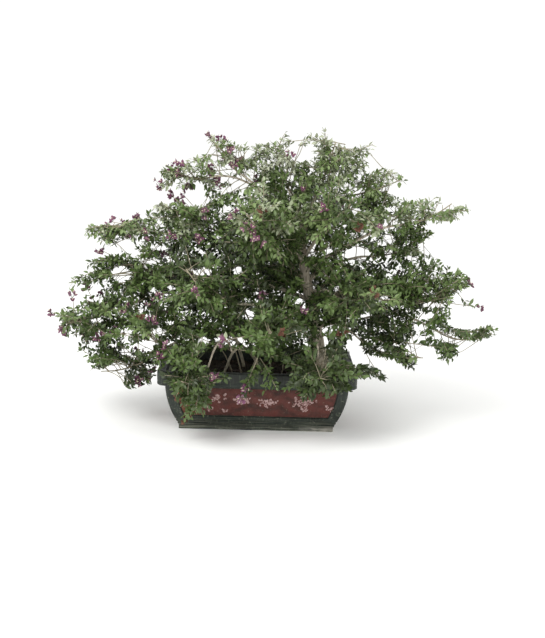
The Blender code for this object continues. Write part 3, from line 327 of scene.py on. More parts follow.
# The crown's edge in the photograph as places on the plane Y = 0, round from the pot's left.
CROWN_EDGE = (
    (-0.40, 0.15), (-0.44, 0.14), (-0.49, 0.12), (-0.54, 0.12), (-0.54, 0.16), (-0.53, 0.235),
    (-0.58, 0.235), (-0.62, 0.20), (-0.68, 0.19), (-0.69, 0.24), (-0.73, 0.27), (-0.72, 0.32),
    (-0.77, 0.33), (-0.80, 0.36), (-0.80, 0.40), (-0.82, 0.42), (-0.81, 0.445), (-0.74, 0.455),
    (-0.70, 0.48), (-0.73, 0.51), (-0.78, 0.53), (-0.75, 0.57), (-0.69, 0.60), (-0.70, 0.64),
    (-0.64, 0.66), (-0.56, 0.67), (-0.54, 0.70), (-0.63, 0.70), (-0.64, 0.72), (-0.70, 0.74),
    (-0.69, 0.785), (-0.60, 0.79), (-0.56, 0.785), (-0.53, 0.81), (-0.47, 0.82), (-0.43, 0.865),
    (-0.38, 0.885), (-0.30, 0.895), (-0.23, 0.91), (-0.30, 0.94), (-0.38, 0.93), (-0.41, 0.945),
    (-0.37, 0.975), (-0.41, 0.99), (-0.39, 1.02), (-0.31, 1.03), (-0.30, 1.05), (-0.24, 1.07),
    (-0.17, 1.08), (-0.20, 1.10), (-0.22, 1.14), (-0.21, 1.17), (-0.19, 1.17), (-0.16, 1.13),
    (-0.11, 1.13), (-0.05, 1.12), (0.01, 1.12), (0.03, 1.14), (0.06, 1.13), (0.08, 1.18), (0.10, 1.17),
    (0.11, 1.14), (0.15, 1.14), (0.165, 1.175), (0.195, 1.175), (0.21, 1.16), (0.22, 1.19),
    (0.245, 1.195), (0.27, 1.145), (0.30, 1.12), (0.34, 1.105), (0.37, 1.12), (0.43, 1.14), (0.44, 1.12),
    (0.41, 1.09), (0.41, 1.05), (0.43, 1.03), (0.47, 1.05), (0.52, 1.03), (0.57, 1.005), (0.56, 0.98),
    (0.49, 0.97), (0.46, 0.955), (0.51, 0.94), (0.58, 0.92), (0.64, 0.92), (0.70, 0.94), (0.71, 0.91),
    (0.67, 0.895), (0.72, 0.875), (0.77, 0.90), (0.81, 0.90), (0.83, 0.885), (0.83, 0.87), (0.76, 0.84),
    (0.69, 0.83), (0.64, 0.82), (0.69, 0.79), (0.66, 0.75), (0.62, 0.75), (0.64, 0.71), (0.69, 0.69),
    (0.74, 0.68), (0.79, 0.65), (0.83, 0.62), (0.86, 0.59), (0.82, 0.57), (0.79, 0.54), (0.77, 0.52),
    (0.83, 0.525), (0.89, 0.52), (0.88, 0.49), (0.82, 0.50), (0.77, 0.50), (0.78, 0.46), (0.76, 0.425),
    (0.80, 0.405), (0.88, 0.40), (0.92, 0.43), (0.97, 0.42), (0.97, 0.38), (0.90, 0.36), (0.84, 0.36),
    (0.77, 0.385), (0.70, 0.40), (0.71, 0.36), (0.81, 0.335), (0.82, 0.31), (0.80, 0.26), (0.75, 0.26),
    (0.72, 0.32), (0.66, 0.34), (0.61, 0.36), (0.61, 0.31), (0.65, 0.29), (0.64, 0.23), (0.60, 0.24),
    (0.56, 0.27), (0.50, 0.28), (0.44, 0.29), (0.39, 0.30), (0.38, 0.25), (0.46, 0.24), (0.54, 0.20),
    (0.53, 0.17), (0.44, 0.185), (0.40, 0.18), (0.39, 0.13), (0.34, 0.13), (0.27, 0.09), (0.19, 0.09),
    (0.14, 0.12), (0.02, 0.11), (-0.01, 0.05), (-0.05, 0.10), (-0.12, 0.13), (-0.17, 0.09), (-0.20, 0.00),
    (-0.26, -0.03), (-0.31, -0.02), (-0.33, 0.08), (-0.36, 0.13),
)

# Where it shows sky through the crown: x, z and half sizes on the plane Y = 0.
SKY_GAPS = gaps(
    (0.385, 0.70, 0.050, 0.030), (0.21, 0.718, 0.012, 0.034), (0.27, 0.705, 0.014, 0.028),
    (0.51, 0.762, 0.022, 0.022), (0.51, 0.706, 0.018, 0.016), (0.51, 0.883, 0.026, 0.012),
    (0.38, 0.943, 0.026, 0.012), (0.23, 0.903, 0.014, 0.008), (0.37, 0.864, 0.016, 0.008),
    (0.15, 1.086, 0.050, 0.032), (-0.15, 0.984, 0.045, 0.014), (-0.135, 0.938, 0.034, 0.013),
    (-0.14, 1.020, 0.050, 0.017), (-0.14, 1.096, 0.040, 0.010), (-0.08, 1.075, 0.034, 0.017),
    (-0.20, 1.036, 0.020, 0.011), (-0.20, 0.990, 0.020, 0.010), (-0.08, 0.975, 0.034, 0.028),
    (-0.18, 1.062, 0.028, 0.012), (-0.285, 0.880, 0.028, 0.016), (-0.24, 0.894, 0.032, 0.025),
    (-0.54, 0.711, 0.034, 0.028), (-0.40, 0.703, 0.028, 0.012), (-0.44, 0.648, 0.040, 0.014),
    (-0.235, 0.688, 0.016, 0.012), (-0.555, 0.592, 0.040, 0.032), (-0.23, 0.611, 0.044, 0.018),
    (-0.265, 0.610, 0.018, 0.014), (-0.09, 0.619, 0.020, 0.016), (-0.35, 0.541, 0.020, 0.010),
    (-0.40, 0.359, 0.030, 0.018), (-0.535, 0.351, 0.026, 0.014), (-0.46, 0.295, 0.042, 0.024),
    (-0.535, 0.274, 0.028, 0.016), (-0.04, 0.439, 0.024, 0.021), (-0.11, 0.332, 0.070, 0.018),
    (-0.22, 0.330, 0.026, 0.014), (0.26, 0.335, 0.028, 0.022), (0.26, 0.389, 0.012, 0.016),
    (0.37, 0.330, 0.012, 0.024), (0.395, 0.310, 0.020, 0.070), (0.43, 0.447, 0.020, 0.012),
    (0.50, 0.521, 0.028, 0.012), (0.31, 0.551, 0.013, 0.017), (0.60, 0.690, 0.028, 0.012),
    (0.70, 0.500, 0.040, 0.013), (-0.50, 0.680, 0.028, 0.011), (-0.66, 0.484, 0.034, 0.012),
    (0.50, 0.310, 0.022, 0.012), (0.56, 0.330, 0.020, 0.010), (-0.36, 0.400, 0.022, 0.012),
    (-0.69, 0.515, 0.060, 0.010), (0.65, 0.360, 0.035, 0.012), (0.68, 0.455, 0.030, 0.013),
    (0.65, 0.410, 0.028, 0.010), (-0.65, 0.400, 0.028, 0.010), (-0.64, 0.345, 0.028, 0.011),
    (-0.67, 0.300, 0.018, 0.009), (-0.42, 0.330, 0.024, 0.011), (-0.50, 0.250, 0.018, 0.011),
    (-0.28, 0.995, 0.028, 0.011), (-0.06, 1.015, 0.024, 0.010), (-0.30, 0.965, 0.018, 0.008),
    (-0.25, 0.957, 0.028, 0.011), (-0.27, 1.035, 0.018, 0.008), (-0.27, 0.925, 0.032, 0.009),
    (0.10, 1.105, 0.028, 0.011), (0.11, 0.990, 0.016, 0.009), (0.33, 0.810, 0.014, 0.008),
    (0.42, 0.775, 0.020, 0.011), (0.49, 0.740, 0.016, 0.009),
)

# Where it shows the trunk or the stems, with no leaves nearer to the camera than the wood's front.
FRONT_OF_WOOD = -0.02
WOOD_SHOWS = gaps(
    (0.185, 0.707, 0.022, 0.030), (0.198, 0.574, 0.022, 0.052), (-0.115, 0.250, 0.125, 0.044),
    (0.262, 0.262, 0.026, 0.042), (-0.158, 0.118, 0.032, 0.036),
)

# Where it shows the inside of the crown in deep shade: sprays there are painted a darker green as
# painted shade.
SHADED = gaps(
    (-0.26, 0.640, 0.180, 0.130), (-0.45, 0.490, 0.050, 0.050), (-0.33, 0.200, 0.090, 0.050),
    (-0.02, 0.550, 0.100, 0.060), (0.31, 0.900, 0.075, 0.065), (0.52, 0.495, 0.085, 0.055),
    (0.31, 0.300, 0.050, 0.050),
)


def linear(colour):
    """An sRGB hex colour as the linear red, green and blue that shaders take."""
    shares = [int(colour[i:i + 2], 16) / 255 for i in (1, 3, 5)]
    return tuple(s / 12.92 if s <= 0.04045 else ((s + 0.055) / 1.055) ** 2.4 for s in shares)


def colour_property(name, description, colour):
    return FloatVectorProperty(name=name, description=description, subtype="COLOR", size=3,
                               min=0.0, max=1.0, default=linear(colour))


def length_property(name, description, size):
    return FloatProperty(name=name, description=description, default=size, min=0.0, unit="LENGTH")


class PlantSettings(bpy.types.PropertyGroup):
    """Sizes and colours of the leaves, the bracts and the bark."""

    leaf_length: length_property("Leaf length", "A full leaf from its stalk to its tip", 0.0335)
    leaf_width: length_property("Leaf width", "A full leaf across its widest place", 0.0146)
    leaf_spacing: length_property("Leaf spacing", "From one leaf to the next along a shoot", 0.0068)
    shoot_spacing: length_property("Shoot spacing", "From one side shoot to the next along a twig", 0.022)
    shoot_length: length_property("Shoot length", "The longest side shoot of a twig", 0.105)
    bract_length: length_property("Bract length", "A papery bract from root to tip", 0.0160)
    twigs_each: IntProperty(name="Twigs", description="Side twigs for each of the source's",
                            default=4, min=1)
    # The six leaf greens below are one green in lit and shaded copies, chosen by place in the crown, with
    # some chance variation: deep and dark are painted shade, low and deep inside the crown; light and pale
    # are painted light, at its top and outside; mid and fresh lie between. The old, young and dusty leaves
    # named in their descriptions stand for this painted shade and painted light.
    leaf_deep: colour_property("Deep leaf", "Old leaves low in the crown", "#2E3A1A")
    leaf_dark: colour_property("Dark leaf", "Shaded leaves", "#425327")
    leaf_mid: colour_property("Mid leaf", "Most of the leaves", "#576C37")
    leaf_fresh: colour_property("Fresh leaf", "Young leaves", "#70834F")
    leaf_light: colour_property("Light leaf", "Leaves that catch the sky", "#929B7B")
    leaf_pale: colour_property("Pale leaf", "Dusty leaves that face up", "#ABB097")
    bract_purple: colour_property("Purple bract", "Fresh bracts", "#7C5069")
    bract_pink: colour_property("Pink bract", "Bracts past their best", "#8C697A")
    bract_dried: colour_property("Dried bract", "Dried bracts and old leaves", "#6A4A3C")
    flower_cream: colour_property("Flower", "The small true flowers among the bracts", "#D9CFB0")
    shoot_bark: colour_property("Young bark", "Green-brown bark of this year's shoots", "#5D6246")
    bark_light: colour_property("Light bark", "Ridges of the old bark", "#E2D8C2")
    bark_dark: colour_property("Dark bark", "Furrows of the old bark", "#B0A594")
    bark_red: colour_property("Red bark", "Inner bark where the outer layer peels", "#B58F7C")
    stem_bark: colour_property("Stem bark", "Smooth pale bark of the thin stems", "#B8B09A")
    twig_bark: colour_property("Twig bark", "Grey bark of the crown's twigs", "#9A917B")
    litter: colour_property("Litter", "Fallen leaves on the soil", "#3B2C20")


class PotSettings(bpy.types.PropertyGroup):
    """Sizes and colours of the pot and of what fills it."""

    rim_rounding: length_property("Rim rounding", "Radius of the rim's worn edges", 0.005)
    wobble: length_property("Wobble", "How far the hand-pressed walls wander", 0.0008)
    soil_bumps: length_property("Soil bumps", "Height of the lumps in the soil", 0.006)
    glaze_dark: colour_property("Dark glaze", "Where the green glaze lies thick", "#161C15")
    glaze_mid: colour_property("Green glaze", "Most of the glaze", "#29312A")
    glaze_thin: colour_property("Thin glaze", "Streaks and edges where the glaze ran thin", "#4F5848")
    worn_stone: colour_property("Worn stoneware", "Bare clay on the foot and the edges", "#7B7D6C")
    bare_clay: colour_property("Bare clay", "The scrubbed corner of the foot", "#97948A")
    panel_red: colour_property("Panel red", "Iron-red slip on the panels", "#5B2F29")
    panel_dark: colour_property("Panel dark", "Sooty patches on the panels", "#37211B")
    rust: colour_property("Rust", "Iron bloom at one end of the panels", "#7E4E33")
    sprig_pale: colour_property("Sprig", "Worn pale glaze of the sprigs", "#B39793")
    soil_dark: colour_property("Dark soil", "Damp soil", "#1C1913")
    soil_light: colour_property("Light soil", "Dry crumbs of soil", "#453B2C")


class StageSettings(bpy.types.PropertyGroup):
    """The floor, the lights and the camera."""

    floor_colour: colour_property("Floor", "The pale floor", "#FAFAF8")
    floor_size: length_property("Floor size", "Side of the square floor", 60.0)
    sky_strength: FloatProperty(name="Sky", description="Brightness of the soft light all round",
                                default=1.08)
    key_power: FloatProperty(name="Key light", description="Power of the large soft light", default=150.0,
                             unit="POWER")
    fill_power: FloatProperty(name="Fill light", description="Power of the weaker soft light", default=25.0,
                              unit="POWER")


class BonsaiSettings(bpy.types.PropertyGroup):
    """All that a user would change."""

    plant: PointerProperty(type=PlantSettings)
    pot: PointerProperty(type=PotSettings)
    stage: PointerProperty(type=StageSettings)


def per_mm(size):
    """The scale at which a pattern repeats about every so many millimetres."""
    return 1000.0 / size


def add_node(material, kind, inputs=None, **settings):
    """Adds a node with its settings; each input is a plain value or another node's output."""
    node = material.node_tree.nodes.new(kind)
    for name, value in settings.items():
        setattr(node, name, value)
    for socket, value in (inputs or {}).items():
        if isinstance(value, bpy.types.NodeSocket):
            material.node_tree.links.new(value, node.inputs[socket])
        else:
            node.inputs[socket].default_value = value
    return node


def new_material(name, inputs):
    """A Principled material with plain values on its sockets."""
    material = bpy.data.materials.new(name)
    material.use_nodes = True
    shader = material.node_tree.nodes["Principled BSDF"]
    for socket, value in inputs.items():
        shader.inputs[socket].default_value = value
    return material


def opaque(colour):
    return (*colour, 1.0)


def plain_material(name, colour, roughness, specular=0.5):
    return new_material(name, {"Base Color": opaque(colour), "Roughness": roughness,
                               "Specular IOR Level": specular})


def pattern(material, sizes, detail=4.0):
    """A noise whose lumps are about this many millimetres long along X, Y and Z."""
    place = add_node(material, "ShaderNodeTexCoord").outputs["Object"]
    scaled = add_node(material, "ShaderNodeMapping",
                      {"Vector": place, "Scale": tuple(per_mm(size) for size in sizes)})
    return add_node(material, "ShaderNodeTexNoise",
                    {"Vector": scaled.outputs[0], "Scale": 1.0, "Detail": detail}).outputs[0]


def patches(material, sizes, low, high, detail=4.0):
    """A share from 0 to 1 in patches of these sizes, as the pattern goes from low to high."""
    value = pattern(material, sizes, detail)
    return add_node(material, "ShaderNodeMapRange", {"Value": value, 1: low, 2: high}).outputs[0]


def towards(material, axis, start, end):
    """A share from 0 to 1 between two places on one of the pot's axes, in metres."""
    place = add_node(material, "ShaderNodeTexCoord").outputs["Object"]
    along = add_node(material, "ShaderNodeSeparateXYZ", {0: place}).outputs[axis]
    return add_node(material, "ShaderNodeMapRange", {"Value": along, 1: start, 2: end}).outputs[0]


def coated(material, colour, coat, *shares):
    """The colour under a coat that shows by the product of the shares."""
    share = shares[0]
    for other in shares[1:]:
        share = add_node(material, "ShaderNodeMath", {0: share, 1: other}, operation="MULTIPLY").outputs[0]
    return add_node(material, "ShaderNodeMix", {0: share, 6: colour, 7: opaque(coat)},
                    data_type="RGBA").outputs[2]


def finished(material, colour, relief=None, roughness=None):
    """The material with its colour, its roughness and its relief: depth in mm, sizes and detail."""
    link = material.node_tree.links.new
    shader = material.node_tree.nodes["Principled BSDF"]
    link(colour, shader.inputs["Base Color"])
    if roughness is not None:
        link(roughness, shader.inputs["Roughness"])
    if relief:
        depth, sizes, detail = relief
        bump = add_node(material, "ShaderNodeBump", {"Height": pattern(material, sizes, detail),
                                                     "Distance": depth / 1000, "Strength": 1.0})
        link(bump.outputs[0], shader.inputs["Normal"])
    return material


def glazed_stoneware(pot):
    """Stoneware dipped in a dark green glaze: it pools dark, runs thin in upright streaks, and years
    outdoors have scrubbed the foot and the edges back to grey clay."""
    glaze = new_material("glazed_stoneware", {"Specular IOR Level": 0.4, "Coat Weight": 0.08,
                                              "Coat Roughness": 0.3})
    pools = patches(glaze, (70, 70, 60), 0.38, 0.62)
    colour = coated(glaze, opaque(pot.glaze_dark), pot.glaze_mid, pools)
    runs = patches(glaze, (7, 7, 110), 0.56, 0.72, 5.0)
    colour = coated(glaze, colour, pot.glaze_thin, runs, 0.75)
    scrubbed = patches(glaze, (160, 160, 3.5), 0.46, 0.66, 5.0)
    colour = coated(glaze, colour, pot.worn_stone, scrubbed, towards(glaze, "Z", PANEL_BOTTOM, 0.0))
    chips = patches(glaze, (14, 14, 10), 0.62, 0.70, 6.0)
    colour = coated(glaze, colour, pot.worn_stone, chips, 0.6)
    corner = towards(glaze, "X", 0.16, 0.22), towards(glaze, "Z", 0.026, 0.010)
    colour = coated(glaze, colour, pot.bare_clay, *corner, patches(glaze, (40, 40, 6), 0.36, 0.56, 5.0))
    matt = patches(glaze, (30, 30, 30), -0.4, 1.2)
    return finished(glaze, colour, (0.6, (5, 5, 5), 6.0), matt)


def iron_red_slip(pot):
    """Panels brushed with iron-red slip and fired matt: mottled, sooty and a little dusty."""
    slip = new_material("iron_red_slip", {"Specular IOR Level": 0.35})
    soot = patches(slip, (45, 45, 30), 0.42, 0.68, 5.0)
    colour = coated(slip, opaque(pot.panel_red), pot.panel_dark, soot)
    dust = patches(slip, (5, 5, 5), 0.60, 0.74, 6.0)
    colour = coated(slip, colour, pot.worn_stone, dust, 0.5)
    rust = patches(slip, (25, 25, 25), 0.40, 0.60)
    colour = coated(slip, colour, pot.rust, towards(slip, "X", -0.24, -0.31), rust)
    matt = patches(slip, (20, 20, 20), -0.6, 1.0)
    return finished(slip, colour, (0.5, (4, 4, 4), 6.0), matt)


def worn_slip_relief(pot):
    """Pale raised slip, rubbed through to the red in places."""
    slip = new_material("worn_pale_slip", {"Roughness": 0.6, "Specular IOR Level": 0.35})
    rubbed = patches(slip, (6, 6, 6), 0.44, 0.60, 6.0)
    return finished(slip, coated(slip, opaque(pot.sprig_pale), pot.panel_red, rubbed))


def damp_potting_soil(pot):
    """Loam and grit: dark where damp, with dry crumbs on top."""
    soil = new_material("damp_potting_soil", {"Roughness": 0.95, "Specular IOR Level": 0.2})
    crumbs = patches(soil, (6, 6, 6), 0.42, 0.66, 8.0)
    colour = coated(soil, opaque(pot.soil_dark), pot.soil_light, crumbs)
    return finished(soil, colour, (2.0, (3, 3, 3), 8.0))


def weathered_bark(plant):
    """Old bougainvillea bark: thin grey-tan cork, furrowed along the limb, and red-brown where it peels."""
    bark = new_material("weathered_bark", {"Roughness": 0.85, "Specular IOR Level": 0.25})
    ridges = patches(bark, (6, 6, 60), 0.40, 0.60, 6.0)
    colour = coated(bark, opaque(plant.bark_dark), plant.bark_light, ridges)
    peeling = patches(bark, (14, 14, 90), 0.62, 0.70)
    colour = coated(bark, colour, plant.bark_red, peeling, 0.7)
    return finished(bark, colour, (1.2, (4, 4, 30), 6.0))


def pale_stem_bark(plant):
    """Young stems: smooth pale bark with faint lengthwise lines and paler scars."""
    bark = new_material("pale_stem_bark", {"Roughness": 0.75, "Specular IOR Level": 0.3})
    scars = patches(bark, (9, 9, 14), 0.52, 0.68, 5.0)
    colour = coated(bark, opaque(plant.stem_bark), plant.bark_light, scars)
    return finished(bark, colour, (0.5, (3, 3, 12), 5.0))


def triangle_mesh(name, points, faces):
    """A mesh from an array of points and an array of triangles."""
    mesh = bpy.data.meshes.new(name)
    mesh.vertices.add(len(points))
    mesh.vertices.foreach_set("co", np.ascontiguousarray(points, np.float32).ravel())
    mesh.loops.add(faces.size)
    mesh.loops.foreach_set("vertex_index", np.ascontiguousarray(faces, np.int32).ravel())
    mesh.polygons.add(len(faces))
    mesh.polygons.foreach_set("loop_start", np.arange(0, faces.size, 3, dtype=np.int32))
    mesh.update(calc_edges=True)
    mesh.validate()
    return mesh


def add_piece(name, shape, material, replaced=(), smooth_to=180):
    """A piece of the object: it rides with the pot, and may stand for solids.

    Its shape is a mesh, or arrays of points and triangles. Edges that bend by more degrees than
    smooth_to stay sharp, and with 0 every face is flat."""
    mesh = shape if isinstance(shape, bpy.types.Mesh) else triangle_mesh(name, *shape)
    if smooth_to:
        mesh.shade_smooth()
    if 0 < smooth_to < 180:
        mesh.set_sharp_from_angle(angle=math.radians(smooth_to))
    mesh.materials.append(material)
    piece = bpy.data.objects.new(name, mesh)
    bpy.context.scene.collection.objects.link(piece)
    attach(piece, BODY)
    if replaced:
        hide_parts(*replaced)


def rows_of(points):
    """Points as the rows of an array."""
    return np.array([tuple(point) for point in points])


def joined(parts):
    """Several (points, faces) arrays as one."""
    starts = np.cumsum([0, *(len(points) for points, _ in parts[:-1])])
    points = np.concatenate([points for points, _ in parts])
    faces = np.concatenate([faces + start for (_, faces), start in zip(parts, starts)])
    return points, faces


def unit_rows(rows):
    return rows / np.linalg.norm(rows, axis=-1, keepdims=True)


def tube_arrays(routes, sides):
    """Closed tapering tubes, joined, for a list of (points, radii)."""
    by_count = {}
    for points, radii in routes:
        by_count.setdefault(len(points), []).append((points, radii))
    parts = []
    for group in by_count.values():
        middles = np.array([rows_of(points) for points, _ in group])
        radii = np.array([radii for _, radii in group])
        parts.append(ring_arrays(middles, radii[:, :, None], sides))
    return joined(parts)


def ring_arrays(middles, radii, sides):
    """Tubes of equal counts of rings: middles is tubes x rings x 3, radii tubes x rings x sides or 1."""
    tubes, count, _ = middles.shape
    along = unit_rows(np.gradient(middles, axis=1))
    # Rings are turned by the upright, or by X where a tube starts almost upright.
    reference = np.where(np.abs(along[:, :1, 2:3]) < 0.9, [[[0.0, 0.0, 1.0]]], [[[1.0, 0.0, 0.0]]])
    across = unit_rows(np.cross(along, np.broadcast_to(reference, along.shape)))
    third = np.cross(along, across)
    angles = FULL_TURN * np.arange(sides) / sides
    spokes = (np.cos(angles)[:, None] * across[:, :, None, :]
              + np.sin(angles)[:, None] * third[:, :, None, :])
    points = middles[:, :, None, :] + spokes * np.asarray(radii)[..., None]
    return points.reshape(-1, 3), repeated(stacked_faces(count, sides)[:, ::-1], tubes, count * sides)


def repeated(faces, copies, points):
    """The faces of one shape for each of its copies, which have so many points each."""
    starts = np.arange(copies) * points
    return (faces[None, :, :] + starts[:, None, None]).reshape(-1, 3)


def blade_template(outline, ribs, stalk):
    """Points and faces of a flat blade of unit length and width, folded along its midrib.

    The outline holds (half width, height) from the blade's foot to its widest places, the ribs the
    heights of the midrib's points between foot and tip, and the stalk the height of the foot."""
    points = [(0.0, height) for height in (0.0, stalk, *ribs, 1.0)]
    middle = range(1, len(points))
    faces = []
    for side in (-1, 1):
        first = len(points)
        points += [(side * half, height) for half, height in outline]
        faces += strip_between(middle, range(first, len(points)), points, side)
    if stalk:
        first = len(points)
        points += [(-0.03, stalk + 0.03), (0.03, stalk + 0.03)]
        faces.append((0, first, first + 1))
    return np.array(points), np.array(faces)


def strip_between(middle, edge, points, side):
    """Triangles between the midrib's points and one edge's, both going from foot to tip."""
    faces = []
    inner, outer = 0, -1
    while inner < len(middle) - 1 or outer < len(edge) - 1:
        next_outer = points[edge[outer + 1]][1] if outer < len(edge) - 1 else math.inf
        next_inner = points[middle[inner + 1]][1] if inner < len(middle) - 2 else math.inf
        if next_outer <= next_inner and outer < len(edge) - 1:
            if outer >= 0:
                faces.append((middle[inner], edge[outer], edge[outer + 1]))
            outer += 1
        else:
            faces.append((middle[inner], edge[max(outer, 0)], middle[inner + 1]))
            inner += 1
    return [face if side < 0 else face[::-1] for face in faces]


LEAF = blade_template(((0.34, 0.28), (0.50, 0.48), (0.32, 0.76)), (0.50,), 0.12)
BRACT = blade_template(((0.36, 0.16), (0.50, 0.42), (0.38, 0.72)), (0.40, 0.70), 0.0)


def blade_arrays(blades, template):
    """Every blade's points and faces: each is placed, folded along its midrib and curled lengthwise."""
    flat, faces = template
    root, axis, facing = (rows_of(blade[i] for blade in blades) for i in range(3))
    length, width, fold, curl = np.array([blade[3:] for blade in blades]).T[:, :, None, None]
    along = unit_rows(axis)
    across = unit_rows(np.cross(facing, along))
    normal = np.cross(along, across)
    sideways = flat[None, :, 0, None]
    upwards = flat[None, :, 1, None]
    lift = fold * np.abs(sideways) * width - curl * upwards**2 * length
    points = (root[:, None, :] + across[:, None, :] * sideways * width
              + along[:, None, :] * upwards * length + normal[:, None, :] * lift)
    return points.reshape(-1, 3), repeated(faces, len(blades), len(flat))


def body_inset(height):
    """How far the pot's body lies inside the rim's edge: it swells from foot to rim in a bow."""
    top = POT_HEIGHT - RIM_DEPTH
    share = min(max((height - PLINTH_HEIGHT) / (top - PLINTH_HEIGHT), 0.0), 1.0)
    return RIM_OVERHANG + BODY_INSET_AT_FOOT * (1 - math.sin(share * math.pi / 2))


def trunk_middle(share):
    """The trunk's axis: it leans from foot to fork, with one slow bow."""
    straight = TRUNK_FOOT.lerp(TRUNK_FORK, share)
    return straight + Vector((TRUNK_BOW * math.sin(2 * math.pi * share), 0, 0))


def trunk_radius(share):
    rise = (TRUNK_FORK.z - TRUNK_FOOT.z) * share
    thickness = TRUNK_RADIUS_LOW + (TRUNK_RADIUS_HIGH - TRUNK_RADIUS_LOW) * share
    return thickness + FLARE * math.exp(-rise / FLARE_HEIGHT)


def trunk_limb():
    shares = [i / TRUNK_RINGS for i in range(TRUNK_RINGS + 1)]
    return Limb([trunk_middle(s) for s in shares], [trunk_radius(s) for s in shares])


def point_along(points, share):
    """The point this share of the way through a route's points."""
    place = share * (len(points) - 1)
    first = min(int(place), len(points) - 2)
    return points[first].lerp(points[first + 1], place - first)


def way_along(points, share):
    first = min(int(share * (len(points) - 1)), len(points) - 2)
    return (points[first + 1] - points[first]).normalized()


def radius_along(limb, share):
    return float(np.interp(share * (len(limb.radii) - 1), range(len(limb.radii)), limb.radii))


def route_length(points):
    return sum((b - a).length for a, b in zip(points, points[1:]))


def bend(start, control, end, count):
    """Points on a bow from start to end that leaves towards the control point."""
    shares = [i / (count - 1) for i in range(count)]
    return [start * (1 - s) ** 2 + control * 2 * s * (1 - s) + end * s * s for s in shares]


def taper(low, high, count):
    return [low + (high - low) * i / (count - 1) for i in range(count)]


def level_way(angle):
    return Vector((math.cos(angle), math.sin(angle), 0))


def square_to(axis, turn):
    """A unit direction square to an axis, turned about it by an angle."""
    side = axis.orthogonal().normalized()
    side.rotate(Matrix.Rotation(turn, 3, axis))
    return side


def random_direction(rng):
    return Vector((rng.gauss(0, 1), rng.gauss(0, 1), rng.gauss(0, 1))).normalized()


def wobbled(points, rng):
    """The same route with its inner points moved a little, as a limb grows."""
    amount = LIMB_WOBBLE * (points[-1] - points[0]).length
    inner = [point + random_direction(rng) * amount * rng.random() for point in points[1:-1]]
    return [points[0], *inner, points[-1]]


def egg_reach(mass, towards):
    return math.sqrt(sum((mass.half[axis] * towards[axis]) ** 2 for axis in range(3)))


class Space:
    """The room of one mass: an egg, cut flat towards each neighbour where a limb enters it."""

    def __init__(self, mass):
        self.centre = Vector(mass.centre)
        self.half = mass.half
        self.walls = []
        for other in MASSES:
            if other is mass:
                continue
            apart = Vector(other.centre) - self.centre
            distance = apart.length
            towards = apart / distance
            mine = egg_reach(mass, towards)
            theirs = egg_reach(other, towards)
            if mine + theirs > distance - 2 * SPACE_MARGIN:
                wall = (distance**2 + mine**2 - theirs**2) / (2 * distance)
                self.walls.append((towards, wall - SPACE_MARGIN))

    def unit(self, point):
        away = point - self.centre
        return Vector((away[axis] / self.half[axis] for axis in range(3)))

    def edge(self, direction, room=0.0, walled=True):
        """The furthest point of the space this way from its middle."""
        out = Vector((direction[axis] * self.half[axis] for axis in range(3)))
        share = 1 - room / min(self.half)
        for towards, wall in self.walls if walled else ():
            rise = out.dot(towards)
            if rise > 0:
                share = min(share, (wall - room) / rise)
        return self.centre + out * share


def entry_point(mass, outside):
    """Where a limb from this point ends, a little way inside the mass's own space."""
    space = Space(mass)
    inwards = space.edge(space.unit(outside).normalized(), ENTRY_ROOM) - space.centre
    return space.centre + inwards * ENTRY_SHARE


def route_limbs():
    """Every limb's axis and radii by name, as the solids have them."""
    rng = random.Random(TREE)
    masses = {mass.name: mass for mass in MASSES}
    limbs = {"trunk": trunk_limb()}
    for stem in STEMS:
        foot = Vector((*stem.foot, SOIL_TOP + CLEARANCE))
        upright = foot + Vector((0, 0, STEM_UPRIGHT))
        end = entry_point(masses[stem.mass], upright)
        arch = stem.rise + STEM_ARCH * (end - upright).length
        control = upright.lerp(end, STEM_BENDS_AT) + Vector((0, 0, arch))
        points = [foot, *wobbled(bend(upright, control, end, LIMB_POINTS + 1), rng)]
        limbs[stem.name] = Limb(points, taper(stem.radius, stem.radius * STEM_TIP_SHARE, len(points)))
    for mass in MASSES:
        if mass.along == 1.0:
            continue
        parent = limbs[mass.limb]
        start = point_along(parent.points, mass.along)
        radius = min(mass.radius, FORK_SHARE * radius_along(parent, mass.along))
        end = entry_point(mass, start)
        # A bow rises half as high as its control point.
        control = (start + end) / 2 + Vector((0, 0, mass.rise * 2))
        points = wobbled(bend(start, control, end, LIMB_POINTS), rng)
        radii = taper(radius, min(BOUGH_TIP_RADIUS, radius), len(points))
        limbs[f"bough_{mass.name}"] = Limb(points, radii)
    return limbs


def smooth_route(limb, step):
    """The limb's route and radii at even small steps, on a curve through its points."""
    points = [2 * limb.points[0] - limb.points[1], *limb.points, 2 * limb.points[-1] - limb.points[-2]]
    fine, radii = [], []
    for i in range(1, len(points) - 2):
        before, start, end, after = points[i - 1:i + 3]
        count = max(2, round((end - start).length / step))
        for j in range(count):
            s = j / count
            bow = (2 * before - 5 * start + 4 * end - after) * s * s
            turn = (3 * start - before - 3 * end + after) * s**3
            fine.append(0.5 * (2 * start + (end - before) * s + bow + turn))
            radii.append(limb.radii[i - 1] + (limb.radii[i] - limb.radii[i - 1]) * s)
    return [*fine, limb.points[-1]], [*radii, limb.radii[-1]]


def noise_round(around, spread, run):
    """A noise without a seam at a place round a limb, this far along it."""
    return noise.noise(Vector((around.x * spread, around.y * spread, run)))


def bark_skin(points, radii, sides, relief, ridges):
    """A limb's mesh with its bark: ridges along it, knots and scars, deeper where it is thicker."""
    rings = np.empty((1, len(points), sides))
    run = 0.0
    for i, (point, radius) in enumerate(zip(points, radii)):
        run += (point - points[max(i - 1, 0)]).length
        for side in range(sides):
            around = level_way(FULL_TURN * side / sides) * ridges
            ridge = noise_round(around, 1.0, run * 9 + radius * 31)
            knot = noise_round(around, 0.4, run * 34)
            rings[0, i, side] = radius * (1 + relief * (0.65 * ridge + 0.5 * knot))
    return ring_arrays(rows_of(points)[None], rings, sides)


